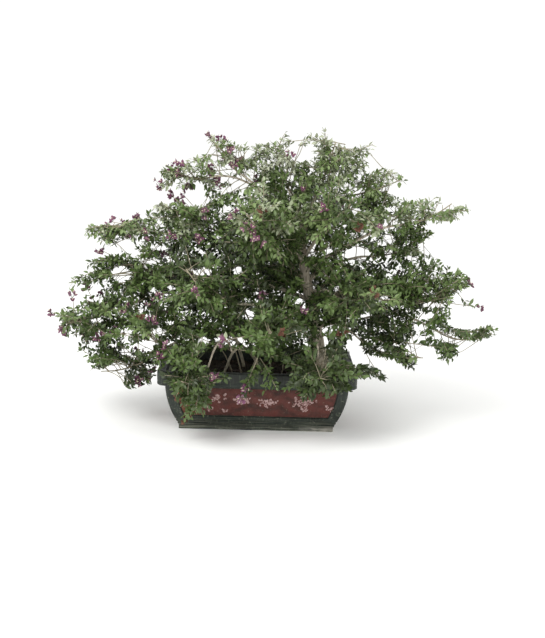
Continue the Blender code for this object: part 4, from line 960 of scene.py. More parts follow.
def trunk_skin():
    """The trunk in level rings, as its solid has them, with lobes at its foot and furrowed bark."""
    sides, rings = 72, 190
    middles, radii = [], []
    for ring in range(rings + 1):
        # The rings stand closer together at the foot.
        share = (ring / rings) ** 1.25
        middle = trunk_middle(share)
        rise = middle.z - TRUNK_FOOT.z
        lobe = LOBE_SHARE * FLARE * math.exp(-rise / FLARE_HEIGHT)
        around_ring = []
        for side in range(sides):
            angle = FULL_TURN * side / sides
            around = level_way(angle + rise * TRUNK_TWIST)
            relief = sum(depth * noise_round(around, spread, rise * rate + start)
                         for depth, spread, rate, start in TRUNK_RELIEF)
            around_ring.append(trunk_radius(share) + lobe * math.cos(FLARE_LOBES * angle) + relief)
        middles.append(tuple(middle))
        radii.append(around_ring)
    return level_rings(np.array(middles), np.array(radii))


def level_rings(middles, radii):
    """A closed tube of level rings, each point this far out from its ring's middle."""
    count, sides = radii.shape
    angles = FULL_TURN * np.arange(sides) / sides
    spokes = np.stack([np.cos(angles), np.sin(angles), 0 * angles], axis=1)
    points = middles[:, None, :] + spokes[None, :, :] * radii[:, :, None]
    return points.reshape(-1, 3), stacked_faces(count, sides)


def stacked_faces(count, sides):
    """Triangles between rings of equal counts of points, and a fan over each end."""
    corner = np.arange(sides)
    following = (corner + 1) % sides
    faces = []
    for ring in range(count - 1):
        low, high = ring * sides, (ring + 1) * sides
        faces.append(np.stack([low + corner, low + following, high + following], axis=1))
        faces.append(np.stack([low + corner, high + following, high + corner], axis=1))
    fan = np.arange(1, sides - 1)
    last = (count - 1) * sides
    faces.append(np.stack([0 * fan, fan + 1, fan], axis=1))
    faces.append(np.stack([last + 0 * fan, last + fan, last + fan + 1], axis=1))
    return np.concatenate(faces)


def seen_at(x, y, z):
    """Where the camera sees a place, as x and z on the plane Y = 0."""
    reach = -CAMERA_PLACE.y / (y - CAMERA_PLACE.y)
    return CAMERA_PLACE.x + (x - CAMERA_PLACE.x) * reach, CAMERA_PLACE.z + (z - CAMERA_PLACE.z) * reach


def are_open(points):
    """For each point, True where the photograph shows sky or, behind the point, the wood."""
    points = rows_of(points)
    x, z = seen_at(*points.T)
    is_open = ~inside_edge(x, z)
    for gap in SKY_GAPS:
        is_open |= in_gap(gap, x, z)
    for gap in WOOD_SHOWS:
        is_open |= in_gap(gap, x, z) & (points[:, 1] < FRONT_OF_WOOD)
    return is_open


def is_shaded(place):
    """If a place lies in one of the crown's shaded parts in the camera's view."""
    return any(in_gap(gap, *seen_at(*place)) for gap in SHADED)


def open_count(points):
    return are_open(points).sum()


def without_bare_tip(points):
    """A twig's points up to the last one in no open place, because no leaves grow past it."""
    leafy = np.flatnonzero(~are_open(points))
    return points[:max(leafy[-1] + 1, 3)] if len(leafy) else points[:3]


def in_gap(gap, x, z):
    return ((x - gap.x) / gap.half_x) ** 2 + ((z - gap.z) / gap.half_z) ** 2 < 1


def inside_edge(x, z):
    """For each place on the plane Y = 0, True where it lies inside the crown's edge."""
    inside = np.zeros(x.shape, bool)
    for (x0, z0), (x1, z1) in zip(CROWN_EDGE, CROWN_EDGE[1:] + CROWN_EDGE[:1]):
        if z0 != z1:
            crosses = (z0 > z) != (z1 > z)
            inside ^= crosses & (x < x0 + (x1 - x0) * (z - z0) / (z1 - z0))
    return inside


def inside_pot(point):
    inside = abs(point.x) < RIM_HALF_X + POT_MARGIN and abs(point.y) < RIM_HALF_Y + POT_MARGIN
    return inside and point.z < POT_HEIGHT + POT_MARGIN


class Sticks:
    """The limbs' segments, to tell how near a twig or a leaf comes to one."""

    def __init__(self, limbs):
        pairs = [(a, b, ra, rb) for points, radii in limbs
                 for a, b, ra, rb in zip(points, points[1:], radii, radii[1:])]
        self.starts = rows_of(pair[0] for pair in pairs)
        self.along = rows_of(pair[1] for pair in pairs) - self.starts
        self.lengths = (self.along**2).sum(axis=1)
        self.radii = np.array([max(pair[2:]) for pair in pairs])

    def clear_of(self, points, room):
        """For each point, True where it is at least this far from every limb's surface."""
        away = rows_of(points)[:, None, :] - self.starts[None, :, :]
        share = np.clip((away * self.along).sum(axis=2) / self.lengths, 0.0, 1.0)
        nearest = away - share[..., None] * self.along
        return (np.sqrt((nearest**2).sum(axis=2)) - self.radii > room).all(axis=1)


# A spray's tone counts up this list from its value in the crown's middle, by how far out it stands on
# each axis, how high up and how far to the left, and by chance, and counts down in the crown's shaded
# patches. All but the chance part is painted light and shade: darker deep inside, low down and in the
# shaded patches as painted shade, paler outside, high up and to the left as painted light.
TONES = ("deep", "dark", "mid", "fresh", "light", "pale")
TONE_IN_MIDDLE = 0.65
TONE_BY_AXIS = (1.6, 0.9, 1.3)
TONE_BY_HEIGHT = 2.8
TONE_TO_LEFT = 0.1
TONE_SPREAD = 0.85
TONE_IN_SHADE = 1.3

# A mass's side twigs end at these shares of the way to its edge, and its leaders fork off between these
# shares of its stem.
SIDE_TWIG_REACH = (0.55, 1.12)
SIDE_TWIG_BARE = 0.15
LEADERS_FORK = (0.25, 0.95)

# How a limb's own side twigs lean forwards, how much of their longest reach they have and how much of
# them is bare; how a twig arches and strays; and how a shoot turns, leans, rises, shortens and nods.
ALONG_LEAN = (0.1, 0.9)
ALONG_LENGTHS = (0.5, 1.0)
ALONG_BARE = 0.2
ABOVE_RIM = 0.05
TWIG_ARCH = (-0.04, 0.16)
TWIG_STRAY = 0.08
SHOOT_TWIST = 0.55
SHOOT_LEAN = (0.5, 1.3)
SHOOT_LIFT = (-0.2, 0.3)
SHOOT_LENGTHS = (0.4, 1.0)
SHOOT_SHORTENING = 0.68
SHOOT_ARCH = 0.06
SHOOT_NOD = (-0.25, 0.05)
SHOOT_OWN_TONE = 0.3

# How leaves and bracts lean, and how their sizes, folds and curls differ.
LEAF_LEAN = (0.4, 1.0)
LEAF_SIZES = (0.62, 1.10)
LEAF_WIDTHS = (0.85, 1.2)
LEAF_FOLDS = (0.05, 0.5)
LEAF_CURLS = (0.0, 0.25)
BRACT_TILTS = (0.5, 0.95)
BRACT_SIZES = (0.8, 1.15)
BRACT_WIDTH = 0.78
BRACT_FOLD = 0.25
BRACT_CURL = 0.12

# Side twigs along a limb: the share of it that stays bare, their spacing and their longest reach.
ALONG_LIMB = {"trunk": (0.24, 0.008, 0.24), "stem": (0.45, 0.020, 0.15)}
ALONG_BOUGH = (0.12, 0.016, 0.17)
CROWN_CENTRE = Vector((0.06, 0.03, 0.52))
CROWN_HALF = Vector((0.90, 0.52, 0.66))
NEAREST_TWIG = -0.45
FURTHEST_TWIG = 0.53
ROUTES_TRIED = 5
FLOWERS_IN_HEAD = (4, 5, 6)
HEAD_SPREAD = 0.015
FLOWER_LENGTH = 0.014
FLOWER_RADII = [0.0007, 0.0010, 0.0009]
FLOWER_STALK_RADII = [0.0008, 0.0007, 0.0006]
# The five corners of a flower's face, and the hollows between them.
STAR_RADII = (0.0028, 0.0014)

# The crown thins out from its foot up over this height, and its leaves are painted paler there as
# painted light from above.
CROWN_FOOT = 0.25
CROWN_RISE = 0.9

# How far from a limb a leaf's middle and its tip keep.
LEAF_ROOM = 0.004
LEAF_TIP_ROOM = 0.002

# A twig that lies across the gap between two tufts at the crown's top: root, tip and its bare share.
CROSSING_TWIG = ((0.320, 0.0, 1.128), (0.085, 0.02, 1.130), 0.75)

# Thin bare shoots that rise from the soil among the stems: foot on the soil, and tip.
SUCKERS = (
    ((-0.06, -0.06), (-0.13, -0.13, 0.38)),
    ((-0.03, -0.08), (0.04, -0.15, 0.37)),
    ((0.02, -0.07), (-0.07, -0.14, 0.40)),
    ((0.05, -0.05), (0.05, -0.13, 0.42)),
    ((-0.10, -0.04), (-0.19, -0.10, 0.36)),
    ((0.28, -0.07), (0.22, -0.16, 0.42)),
    ((0.21, -0.08), (0.31, -0.17, 0.38)),
    ((0.10, -0.02), (0.13, -0.10, 0.40)),
)
# Each one's radius at its foot, how far it bows up, and where along it its side shoots stand.
SUCKER_RADIUS = 0.0034
SUCKER_BOW = Vector((0, 0, 0.06))
SUCKER_SHOOTS = (0.66, 0.74, 0.82, 0.9, 0.96)


class Crown:
    """All that grows from the limbs: twigs, shoots, leaves by tone, bracts by age, and flowers."""

    def __init__(self, plant, limbs):
        self.plant = plant
        self.limbs = limbs
        self.twigs = []
        self.suckers = []
        self.shoots = []
        self.leaves = {tone: [] for tone in TONES}
        self.bracts = {"purple": [], "pink": [], "dried": []}
        self.flowers = []
        for mass in MASSES:
            self.grow_mass(mass)
        self.rng = random.Random(f"{TREE} inner crown")
        for name, limb in limbs.items():
            self.grow_along(limb, *ALONG_LIMB.get(name.split("_")[0], ALONG_BOUGH))
        self.grow_suckers()
        self.drop_blocked_leaves()

    def grow_mass(self, mass):
        self.rng = random.Random(f"{mass.name} crown")
        self.mass = mass
        self.space = Space(mass)
        limb = self.limbs[mass.limb] if mass.along == 1.0 else self.limbs[f"bough_{mass.name}"]
        stem, radii = self.grow_stem(limb)
        self.twigs.append((stem, radii))
        count = mass.twigs * self.plant.twigs_each
        directions = list(spread_directions(count, self.rng.random() * FULL_TURN))
        self.rng.shuffle(directions)
        for number, direction in enumerate(directions):
            place = (number + self.rng.random() / 2) / count
            start = point_along(stem, FIRST_FORK + (LAST_FORK - FIRST_FORK) * place)
            end = self.space.edge((direction + self.jitter(AIM_SPREAD)).normalized(), walled=False)
            end = start + (end - start) * self.rng.uniform(*SIDE_TWIG_REACH)
            end = self.drawn_back(start, end)
            if end is not None and end.z > LOWEST_LEAF and not inside_pot(end):
                bracts = self.rng.random() < mass.bracts and end.y > self.space.centre.y
                self.grow_twig(start, end, int(bracts), SIDE_TWIG_BARE)
        for x, y, z, *kind in LEADERS.get(mass.name, ()):
            start = point_along(stem, self.rng.uniform(*LEADERS_FORK))
            self.grow_twig(start, Vector((x, y, z)), *(kind or (0, 0.1)))
        if mass.name == "top_right":
            root, tip, bare = CROSSING_TWIG
            self.grow_twig(Vector(root), Vector(tip), 0, bare)

    def drawn_back(self, start, end):
        """The end of a twig, drawn back towards its root until it stands in no open place."""
        end.y = min(max(end.y, NEAREST_TWIG), FURTHEST_TWIG)
        for share in (1.0, 0.8, 0.6, 0.4):
            nearer = start.lerp(end, share)
            if not are_open([nearer])[0]:
                return nearer
        return None

    def jitter(self, amount):
        return random_direction(self.rng) * amount

    def grow_stem(self, limb):
        """The stem carries its limb's line on, and ends past the middle of the space."""
        tangent = (limb.points[-1] - limb.points[-2]).normalized()
        collar = limb.points[-1] + tangent * STEM_COLLAR
        aim = (self.space.centre - collar).normalized() + self.jitter(AIM_SPREAD)
        unit = Vector((aim[axis] / self.mass.half[axis] for axis in range(3))).normalized()
        end = self.space.centre.lerp(self.space.edge(unit), STEM_REACH)
        control = collar + tangent * (end - collar).length * STEM_CURVE
        points = [limb.points[-1], *bend(collar, control, end, TWIG_POINTS)]
        return points, taper(limb.radii[-1], TWIG_RADIUS * 0.8, len(points))

    def grow_along(self, limb, first, spacing, reach):
        """Side twigs all along a limb, which fill the crown between its masses."""
        rng = self.rng
        count = int(route_length(limb.points) * (1 - first) / spacing)
        turn = rng.random() * FULL_TURN
        for number in range(count):
            share = first + (1 - first) * (number + rng.random()) / count
            start = point_along(limb.points, share)
            ahead = way_along(limb.points, share)
            turn += GOLDEN_ANGLE
            way = (square_to(ahead, turn) + ahead * rng.uniform(*ALONG_LEAN) + UP * 0.15).normalized()
            end = self.drawn_back(start, start + way * reach * rng.uniform(*ALONG_LENGTHS))
            if end is not None and end.z > POT_HEIGHT + ABOVE_RIM:
                self.grow_twig(start, end, 0, ALONG_BARE)

    def grow_suckers(self):
        """Thin pale shoots from the soil, leafy only near their tips."""
        for foot, tip in SUCKERS:
            start, end = Vector((*foot, SOIL_TOP - 0.004)), Vector(tip)
            control = start.lerp(end, 0.4) + SUCKER_BOW
            points = wobbled(bend(start, control, end, TWIG_POINTS + 3), self.rng)
            self.suckers.append((points, taper(SUCKER_RADIUS, TWIG_TIP_RADIUS, len(points))))
            for share in SUCKER_SHOOTS:
                self.grow_shoot(points, share, self.rng.choice((-1, 1)), "mid")
            self.grow_leaves(points, 0.75, "mid", 0.9)

    def grow_twig(self, start, end, bracts, bare):
        """A twig that arches up and nods at its tip, with side shoots by turns and any head of bracts."""
        length = (end - start).length
        points = min((self.twig_route(start, end) for _ in range(ROUTES_TRIED)), key=open_count)
        shown = points if bracts else without_bare_tip(points)
        self.twigs.append((shown, taper(TWIG_RADIUS * (0.5 + 1.2 * length), TWIG_TIP_RADIUS, len(shown))))
        tone = self.tone_of(end)
        count = max(1, round(length * (1 - bare) / self.plant.shoot_spacing))
        turn = self.rng.choice((-1, 1))
        for number in range(count):
            share = bare + (1 - bare) * (number + self.rng.uniform(0.1, 0.7)) / count
            turn = -turn
            self.grow_shoot(points, min(share, 0.97), turn, tone)
        self.grow_leaves(points, bare + 0.35 * (1 - bare), tone, 1.0)
        if bracts:
            self.grow_head(points[-1], way_along(points, 1.0), bracts == 2)

    def twig_route(self, start, end):
        length = (end - start).length
        arch = UP * length * self.rng.uniform(*TWIG_ARCH)
        control = start.lerp(end, 0.5) + arch + self.jitter(TWIG_STRAY * length)
        return wobbled(bend(start, control, end, TWIG_POINTS), self.rng)

    def grow_shoot(self, twig, share, turn, tone):
        """A leafy shoot on one side of a twig, spread out flat and shorter towards the twig's tip."""
        rng = self.rng
        root = point_along(twig, share)
        ahead = way_along(twig, share)
        side = ahead.cross(UP)
        side = (side.normalized() if side.length > 0.1 else ahead.orthogonal().normalized()) * turn
        side.rotate(Matrix.Rotation(rng.gauss(0, SHOOT_TWIST), 3, ahead))
        way = (ahead * rng.uniform(*SHOOT_LEAN) + side + UP * rng.uniform(*SHOOT_LIFT)).normalized()
        length = self.plant.shoot_length * (1 - SHOOT_SHORTENING * share) * rng.uniform(*SHOOT_LENGTHS)
        end = root + way * length
        if end.z < LOWEST_LEAF or inside_pot(end) or are_open([end])[0]:
            return
        nod = UP * length * rng.uniform(*SHOOT_NOD)
        points = bend(root, root.lerp(end, 0.5) + UP * length * SHOOT_ARCH, end + nod, SHOOT_POINTS)
        self.shoots.append((points, taper(SHOOT_RADIUS, SHOOT_TIP_RADIUS, SHOOT_POINTS)))
        if rng.random() < SHOOT_OWN_TONE:
            tone = self.tone_of(end)
        self.grow_leaves(points, 0.10, tone, 0.95)

    def grow_leaves(self, points, first, tone, scale):
        """Leaves by turns round a shoot, smaller towards its tip, where the last few crowd in a tuft."""
        rng = self.rng
        plant = self.plant
        spacing = plant.leaf_spacing * (0.85 + 0.5 * self.lift(points[-1]))
        count = max(4, round(route_length(points) * (1 - first) / spacing))
        turn = rng.random() * FULL_TURN
        for number in range(count + 1):
            share = first + (1 - first) * (number + rng.uniform(-0.2, 0.2)) / count
            share = min(max(1 - (1 - share) * 1.08, 0.0), 1.0)
            root = point_along(points, share)
            ahead = way_along(points, share)
            turn += GOLDEN_ANGLE
            side = square_to(ahead, turn) * (0.25 if number == count else 1.0)
            lean = rng.uniform(*LEAF_LEAN) + 1.2 * max(share - 0.75, 0) * 2
            axis = ahead * lean + side + UP * rng.uniform(-0.4, 0.4)
            facing = self.outward(root) * 0.5 + UP * 0.8 + self.jitter(0.5)
            size = scale * (1 - 0.35 * max(share - 0.4, 0.0)) * rng.uniform(*LEAF_SIZES)
            width = plant.leaf_width * size * rng.uniform(*LEAF_WIDTHS)
            fold, curl = rng.uniform(*LEAF_FOLDS), rng.uniform(*LEAF_CURLS)
            self.leaves[tone].append(Blade(root, axis, facing, plant.leaf_length * size, width, fold, curl))

    def outward(self, place):
        """From the crown's middle to this place, as a share of the way to the crown's surface."""
        away = place - CROWN_CENTRE
        return Vector((away[axis] / CROWN_HALF[axis] for axis in range(3)))

    def lift(self, place):
        """How high in the crown this place is: sprays thin out upwards, and their leaves are painted paler
            there as painted light.
        """
        return min(max((place.z - CROWN_FOOT) / CROWN_RISE, 0.0), 1.0)

    def tone_of(self, place):
        """A spray's green: darker low, deep in the crown and in its shaded patches as painted shade, paler
        at
            its top, its tips and to the left as painted light, and varied by chance.
        """
        out = self.outward(place)
        level = TONE_IN_MIDDLE + sum(weight * share**2 for weight, share in zip(TONE_BY_AXIS, out))
        level += TONE_BY_HEIGHT * self.lift(place) - TONE_TO_LEFT * out.x
        level += self.rng.gauss(0, TONE_SPREAD) - TONE_IN_SHADE * is_shaded(place)
        return TONES[min(max(int(level), 0), len(TONES) - 1)]

    def grow_head(self, place, ahead, dried):
        """A loose head: bracts in threes, each three round its own small flowers."""
        rng = self.rng
        for _ in range(rng.choice(FLOWERS_IN_HEAD)):
            axis = (ahead + UP * 0.3 + self.jitter(0.9)).normalized()
            root = place + self.jitter(HEAD_SPREAD) + axis * 0.004
            age = "dried" if dried else rng.choice(("purple", "purple", "pink"))
            phase = rng.random() * FULL_TURN
            tilt = rng.uniform(*BRACT_TILTS)
            self.shoots.append(([place, place.lerp(root, 0.5), root], FLOWER_STALK_RADII))
            for third in range(3):
                out = square_to(axis, phase + third * FULL_TURN / 3)
                way = axis * math.cos(tilt) + out * math.sin(tilt)
                length = self.plant.bract_length * rng.uniform(*BRACT_SIZES)
                bract = Blade(root, way, axis, length, length * BRACT_WIDTH, BRACT_FOLD, BRACT_CURL)
                self.bracts[age].append(bract)
            if not dried:
                self.flowers.append((root, axis))

    def drop_blocked_leaves(self):
        """Takes out the leaves where the photograph shows sky or wood, or at a limb or the pot."""
        sticks = Sticks(self.limbs.values())
        for tone, leaves in self.leaves.items():
            middles = [leaf.root + leaf.axis.normalized() * leaf.length * 0.55 for leaf in leaves]
            tips = [leaf.root + leaf.axis.normalized() * leaf.length for leaf in leaves]
            clear = sticks.clear_of(middles, LEAF_ROOM) & sticks.clear_of(tips, LEAF_TIP_ROOM)
            clear &= ~are_open(middles)
            self.leaves[tone] = [
                leaf for leaf, middle, tip, free in zip(leaves, middles, tips, clear)
                if free and tip.z > LOWEST_LEAF and not (inside_pot(tip) or inside_pot(middle))
            ]


def spread_directions(count, turn):
    """Unit directions spread evenly over the sphere, turned about the upright by an angle."""
    for i in range(count):
        height = 1 - (2 * i + 1) / count
        around = GOLDEN_ANGLE * i + turn
        level = math.sqrt(1 - height * height)
        yield Vector((level * math.cos(around), level * math.sin(around), height))


def flower_arrays(flowers):
    """Small tube flowers, each with a five-cornered cream face."""
    routes, stars = [], []
    for root, axis in flowers:
        tip = root + axis * FLOWER_LENGTH
        routes.append(([root, root.lerp(tip, 0.5), tip], FLOWER_RADII))
        stars.append(tip + axis * 0.0006)
        for corner in range(10):
            stars.append(tip + square_to(axis, math.pi * corner / 5) * STAR_RADII[corner % 2])
    fan = np.array([(0, 1 + i, 1 + (i + 1) % 10) for i in range(10)])
    return joined([tube_arrays(routes, 5), (rows_of(stars), repeated(fan, len(flowers), 11))])


# Half the width over which the wall slopes down into a sunk panel.
PANEL_SLOPE = 0.0012


def pot_sides():
    """For each side from +X round: its turn about the upright, how far out it is and half its length."""
    for side in range(4):
        reach, half = (RIM_HALF_Y, RIM_HALF_X) if side % 2 else (RIM_HALF_X, RIM_HALF_Y)
        yield side * math.pi / 2, reach, half


def side_axes(turn):
    """A side's level directions: out of the pot, and along the side."""
    out = level_way(turn)
    return out, Vector((-out.y, out.x, 0))


def side_places(half, radius, panel, count):
    """(place, in_panel) along one straight side of the pot, close together at the panel's edges."""
    run = half - radius
    margin = np.linspace(-run, -panel - PANEL_SLOPE, 4)
    inner = np.linspace(-panel + PANEL_SLOPE, panel - PANEL_SLOPE, count)
    places = [*margin, *inner, *-margin[::-1]]
    flags = [False] * len(margin) + [True] * len(inner) + [False] * len(margin)
    return list(zip(places, flags))


def outline_ring(half_x, half_y, radius, panel_x, panel_y):
    """Points round one ring, going round from the +X side, with each one's way out and panel flag."""
    ring = []
    corner_steps = 8
    for side in range(4):
        turn = side * math.pi / 2
        out, along = side_axes(turn)
        reach, width, panel = (half_x, half_y, panel_y) if side % 2 == 0 else (half_y, half_x, panel_x)
        for place, flag in side_places(width, radius, panel, 26 if side % 2 == 0 else 48):
            ring.append((out * reach + along * place, out, flag))
        middle = out * (reach - radius) + along * (width - radius)
        for step in range(1, corner_steps):
            way = level_way(turn + step / corner_steps * math.pi / 2)
            ring.append((middle + way * radius, way, False))
    return ring


def pot_profile(rounding):
    """(inset, height) from the foot's edge up the outside, over the rim and down the inside."""
    steps = [(body_inset(0.0) + 0.0015, 0.0), (body_inset(0.0), 0.0015)]
    for middle in GROOVE_HEIGHTS:
        for offset, share in ((-1, 0), (-0.55, 0.75), (0, 1), (0.55, 0.75), (1, 0)):
            height = middle + offset * GROOVE_HALF_HEIGHT
            steps.append((body_inset(height) + share * GROOVE_DEPTH, height))
    under_rim = POT_HEIGHT - RIM_DEPTH
    heights = [0.050, PANEL_BOTTOM - PANEL_SLOPE, PANEL_BOTTOM + PANEL_SLOPE]
    heights += list(np.linspace(PANEL_BOTTOM + PANEL_SLOPE, PANEL_TOP - PANEL_SLOPE, 20)[1:])
    heights += [PANEL_TOP + PANEL_SLOPE, under_rim - 0.002]
    steps += [(body_inset(height), height) for height in heights]
    steps += [(RIM_OVERHANG - 0.004, under_rim), (rounding, under_rim + 0.001)]
    steps += rounded_corner(rounding, under_rim + 0.001 + rounding, rounding, -90, 0)
    steps += [(0.0, under_rim + 0.012), (0.0016, under_rim + 0.0145), (0.0016, under_rim + 0.0165),
              (0.0, under_rim + 0.019), (0.0, POT_HEIGHT - 0.020)]
    steps += rounded_corner(rounding, POT_HEIGHT - rounding, rounding, 0, 90)
    steps += [(RIM_WIDTH / 2, POT_HEIGHT)]
    inner_edge = rounded_corner(rounding, POT_HEIGHT - rounding, rounding, 90, 0)
    steps += [(RIM_WIDTH - inset, height) for inset, height in inner_edge]
    steps += [(body_inset(SOIL_TOP) + WALL, SOIL_TOP + above) for above in (0.010, -0.004)]
    steps += [(body_inset(height) + WALL, height) for height in (0.120, FLOOR)]
    return steps


def rounded_corner(inset, height, radius, first, last):
    """A quarter round about a middle, from one angle to another, as (inset, height) steps."""
    angles = [math.radians(first + (last - first) * i / 4) for i in range(5)]
    return [(inset - radius * math.cos(angle), height + radius * math.sin(angle)) for angle in angles]


def panel_half(half, height):
    """Half the panel's width at this height: it narrows to the foot with the pot's sides."""
    return half - body_inset(min(max(height, PANEL_BOTTOM), PANEL_TOP)) - PANEL_MARGIN


def make_pot_mesh(pot):
    """The pot's glazed body with its moulded foot, sunk panels, line on the rim and worn edges."""
    bm = bmesh.new()
    loops = []
    for inset, height in pot_profile(pot.rim_rounding):
        radius = max(CORNER_RADIUS - inset / 2, pot.rim_rounding)
        outside = inset < body_inset(height) + GROOVE_DEPTH * 2
        sunk = outside and PANEL_BOTTOM < height < PANEL_TOP
        panels = panel_half(RIM_HALF_X, height), panel_half(RIM_HALF_Y, height)
        loop = []
        for place, out, flag in outline_ring(RIM_HALF_X - inset, RIM_HALF_Y - inset, radius, *panels):
            spot = Vector((place.x, place.y, height))
            shift = -PANEL_DEPTH if sunk and flag else 0.0
            if outside:
                wander = noise.noise(spot * 14) + 0.4 * noise.noise(spot * 60)
                shift += pot.wobble * wander - pot.wobble / 2
            loop.append(bm.verts.new(spot + out * shift))
        loops.append(loop)
    for lower, upper in zip(loops, loops[1:]):
        for i in range(len(lower)):
            following = (i + 1) % len(lower)
            bm.faces.new((lower[i], lower[following], upper[following], upper[i]))
    bm.faces.new(loops[0])
    bm.faces.new(loops[-1])
    bmesh.ops.recalc_face_normals(bm, faces=bm.faces)
    mesh = bpy.data.meshes.new("pot_glaze")
    bm.to_mesh(mesh)
    bm.free()
    return mesh


def panel_arrays(pot):
    """The red fields: a thin skin on the floor of each sunk panel, following its bow."""
    return joined([panel_skin(*side, pot.wobble) for side in pot_sides()])


def grid_faces(columns, rows):
    """Triangles of a grid of points, row by row."""
    faces = []
    for row in range(rows):
        for column in range(columns):
            a = row * (columns + 1) + column
            faces += [(a, a + 1, a + columns + 2), (a, a + columns + 2, a + columns + 1)]
    return faces


def grid_border(columns, rows):
    """The numbers of a grid's outer points, once round."""
    border = list(range(columns))
    border += [(columns + 1) * row + columns for row in range(rows)]
    border += [rows * (columns + 1) + columns - i for i in range(columns)]
    return border + [(columns + 1) * (rows - row) for row in range(rows)]


def panel_skin(turn, reach, half, wobble):
    """One red field as a closed slab: its face and, behind it inside the wall, its back."""
    columns, rows = max(8, int(2 * half / 0.012)), 16
    out, along = side_axes(turn)
    low, high = PANEL_BOTTOM + 0.004, PANEL_TOP - 0.004
    layers = []
    for depth in (0.0012, -0.0025):
        grid = []
        for row in range(rows + 1):
            height = low + (high - low) * row / rows
            width = panel_half(half, height) - 0.003
            for column in range(columns + 1):
                place = width * (2 * column / columns - 1)
                at_edge = row in (0, rows) or column in (0, columns)
                spot = out * (reach - body_inset(height) - PANEL_DEPTH) + along * place + UP * height
                swell = wobble * noise.noise(spot * 14) - wobble / 2
                grid.append(tuple(spot + out * (swell + (min(depth, 0.0004) if at_edge else depth))))
        layers.append(grid)
    count = (rows + 1) * (columns + 1)
    faces = grid_faces(columns, rows)
    faces += [(count + a, count + c, count + b) for a, b, c in faces]
    border = grid_border(columns, rows)
    for a, b in zip(border, [*border[1:], border[0]]):
        faces += [(a, count + a, count + b), (a, count + b, b)]
    return np.array(layers[0] + layers[1]), np.array(faces)


# Clusters of small worn petals on the panels: place across, height, half width, half height, petals.
LONG_SIDE_SPRIGS = (
    (-0.215, 0.150, 0.012, 0.010, 9), (-0.185, 0.090, 0.012, 0.008, 8), (-0.155, 0.142, 0.016, 0.012, 12),
    (-0.120, 0.084, 0.010, 0.006, 6), (-0.058, 0.134, 0.030, 0.010, 30), (0.044, 0.128, 0.036, 0.011, 42),
    (0.182, 0.130, 0.036, 0.013, 56), (0.188, 0.100, 0.006, 0.018, 12), (0.290, 0.104, 0.012, 0.010, 8),
)
SHORT_SIDE_SPRIGS = ((-0.050, 0.130, 0.028, 0.012, 30), (0.055, 0.118, 0.022, 0.011, 20))
# The shortest and the longest petal.
PETAL_LENGTHS = (0.008, 0.019)


def sprig_arrays():
    """Generic sprigs along every panel: small petals strewn in flat clusters, in low relief."""
    rng = random.Random("sprigs")
    parts = []
    for turn, reach, half in pot_sides():
        for place, height, half_x, half_z, count in LONG_SIDE_SPRIGS if half > reach else SHORT_SIDE_SPRIGS:
            for _ in range(count):
                spot = Vector((place + half_x * rng.gauss(0, 0.5), height + half_z * rng.gauss(0, 0.42)))
                angle, length = rng.random() * FULL_TURN, rng.uniform(*PETAL_LENGTHS)
                parts.append(petal(turn, reach, spot, angle, length))
    return joined(parts)


def petal(turn, reach, foot, angle, length):
    """One petal: a low pointed dome on the panel's face."""
    out, along = side_axes(turn)
    way = Vector((math.cos(angle), math.sin(angle)))
    side = Vector((-way.y, way.x))
    corners = 9
    points = []
    for step in range(corners):
        around = FULL_TURN * step / corners
        forward = (0.5 - 0.5 * math.cos(around)) * length
        aside = math.sin(around) * 0.32 * length
        points.append((foot + way * forward + side * aside, 0.0008))
    points.append((foot + way * length * 0.5, 0.0018))
    points.append((foot + way * length * 0.5, -0.001))
    solid = [tuple(out * (reach - body_inset(flat.y) - PANEL_DEPTH + proud) + along * flat.x + UP * flat.y)
             for flat, proud in points]
    faces = []
    for step in range(corners):
        following = (step + 1) % corners
        faces += [(step, following, corners), (following, step, corners + 1)]
    return np.array(solid), np.array(faces)


# Lumps, crumbs and grit: waves to the metre, and each one's share of the soil's bumps.
SOIL_LUMPS = ((18, 0.8), (60, 0.4), (150, 0.25))


def soil_arrays(bumps):
    """The soil as a closed block: a lumpy top, heaped a little round the trunk, and plain sides."""
    inset = body_inset(SOIL_TOP) + WALL + 0.0005
    half_x, half_y = RIM_HALF_X - inset, RIM_HALF_Y - inset
    columns, rows = 150, 84
    top = []
    for row in range(rows + 1):
        for column in range(columns + 1):
            x = half_x * (2 * column / columns - 1)
            y = half_y * (2 * row / rows - 1)
            spot = Vector((x, y, 0))
            lump = sum(noise.noise(spot * rate) * share for rate, share in SOIL_LUMPS)
            heap = 0.012 * math.exp(-((x - TRUNK_FOOT.x) ** 2 + (y - TRUNK_FOOT.y) ** 2) / 0.006)
            top.append((x, y, SOIL_TOP - 0.003 + bumps * lump + heap))
    count = len(top)
    bottom = [(x, y, SOIL_TOP - 0.030) for x, y, _ in top]
    faces = grid_faces(columns, rows)
    border = grid_border(columns, rows)
    under = {edge: count + i for i, edge in enumerate(border)}
    points = top + [bottom[edge] for edge in border]
    for a, b in zip(border, [*border[1:], border[0]]):
        faces += [(a, under[a], under[b]), (a, under[b], b)]
    faces += [(under[border[0]], under[border[i + 1]], under[border[i]]) for i in range(1, len(border) - 1)]
    return np.array(points), np.array(faces)


LITTER_LEAVES = 150


def litter_blades(plant):
    """Fallen leaves and bracts that lie on the soil."""
    rng = random.Random("litter")
    inset = body_inset(SOIL_TOP) + WALL + 0.03
    blades = []
    for _ in range(LITTER_LEAVES):
        x, y = (rng.uniform(-1, 1) * (half - inset) for half in (RIM_HALF_X, RIM_HALF_Y))
        place = Vector((x, y, SOIL_TOP + rng.uniform(0.001, 0.007)))
        angle = rng.random() * FULL_TURN
        axis = Vector((math.cos(angle), math.sin(angle), rng.uniform(-0.1, 0.25)))
        length = plant.leaf_length * rng.uniform(0.6, 1.0)
        blades.append(Blade(place, axis, UP + random_direction(rng) * 0.4, length, length * 0.55,
                            rng.uniform(0.1, 0.8), rng.uniform(-0.2, 0.2)))
    return blades


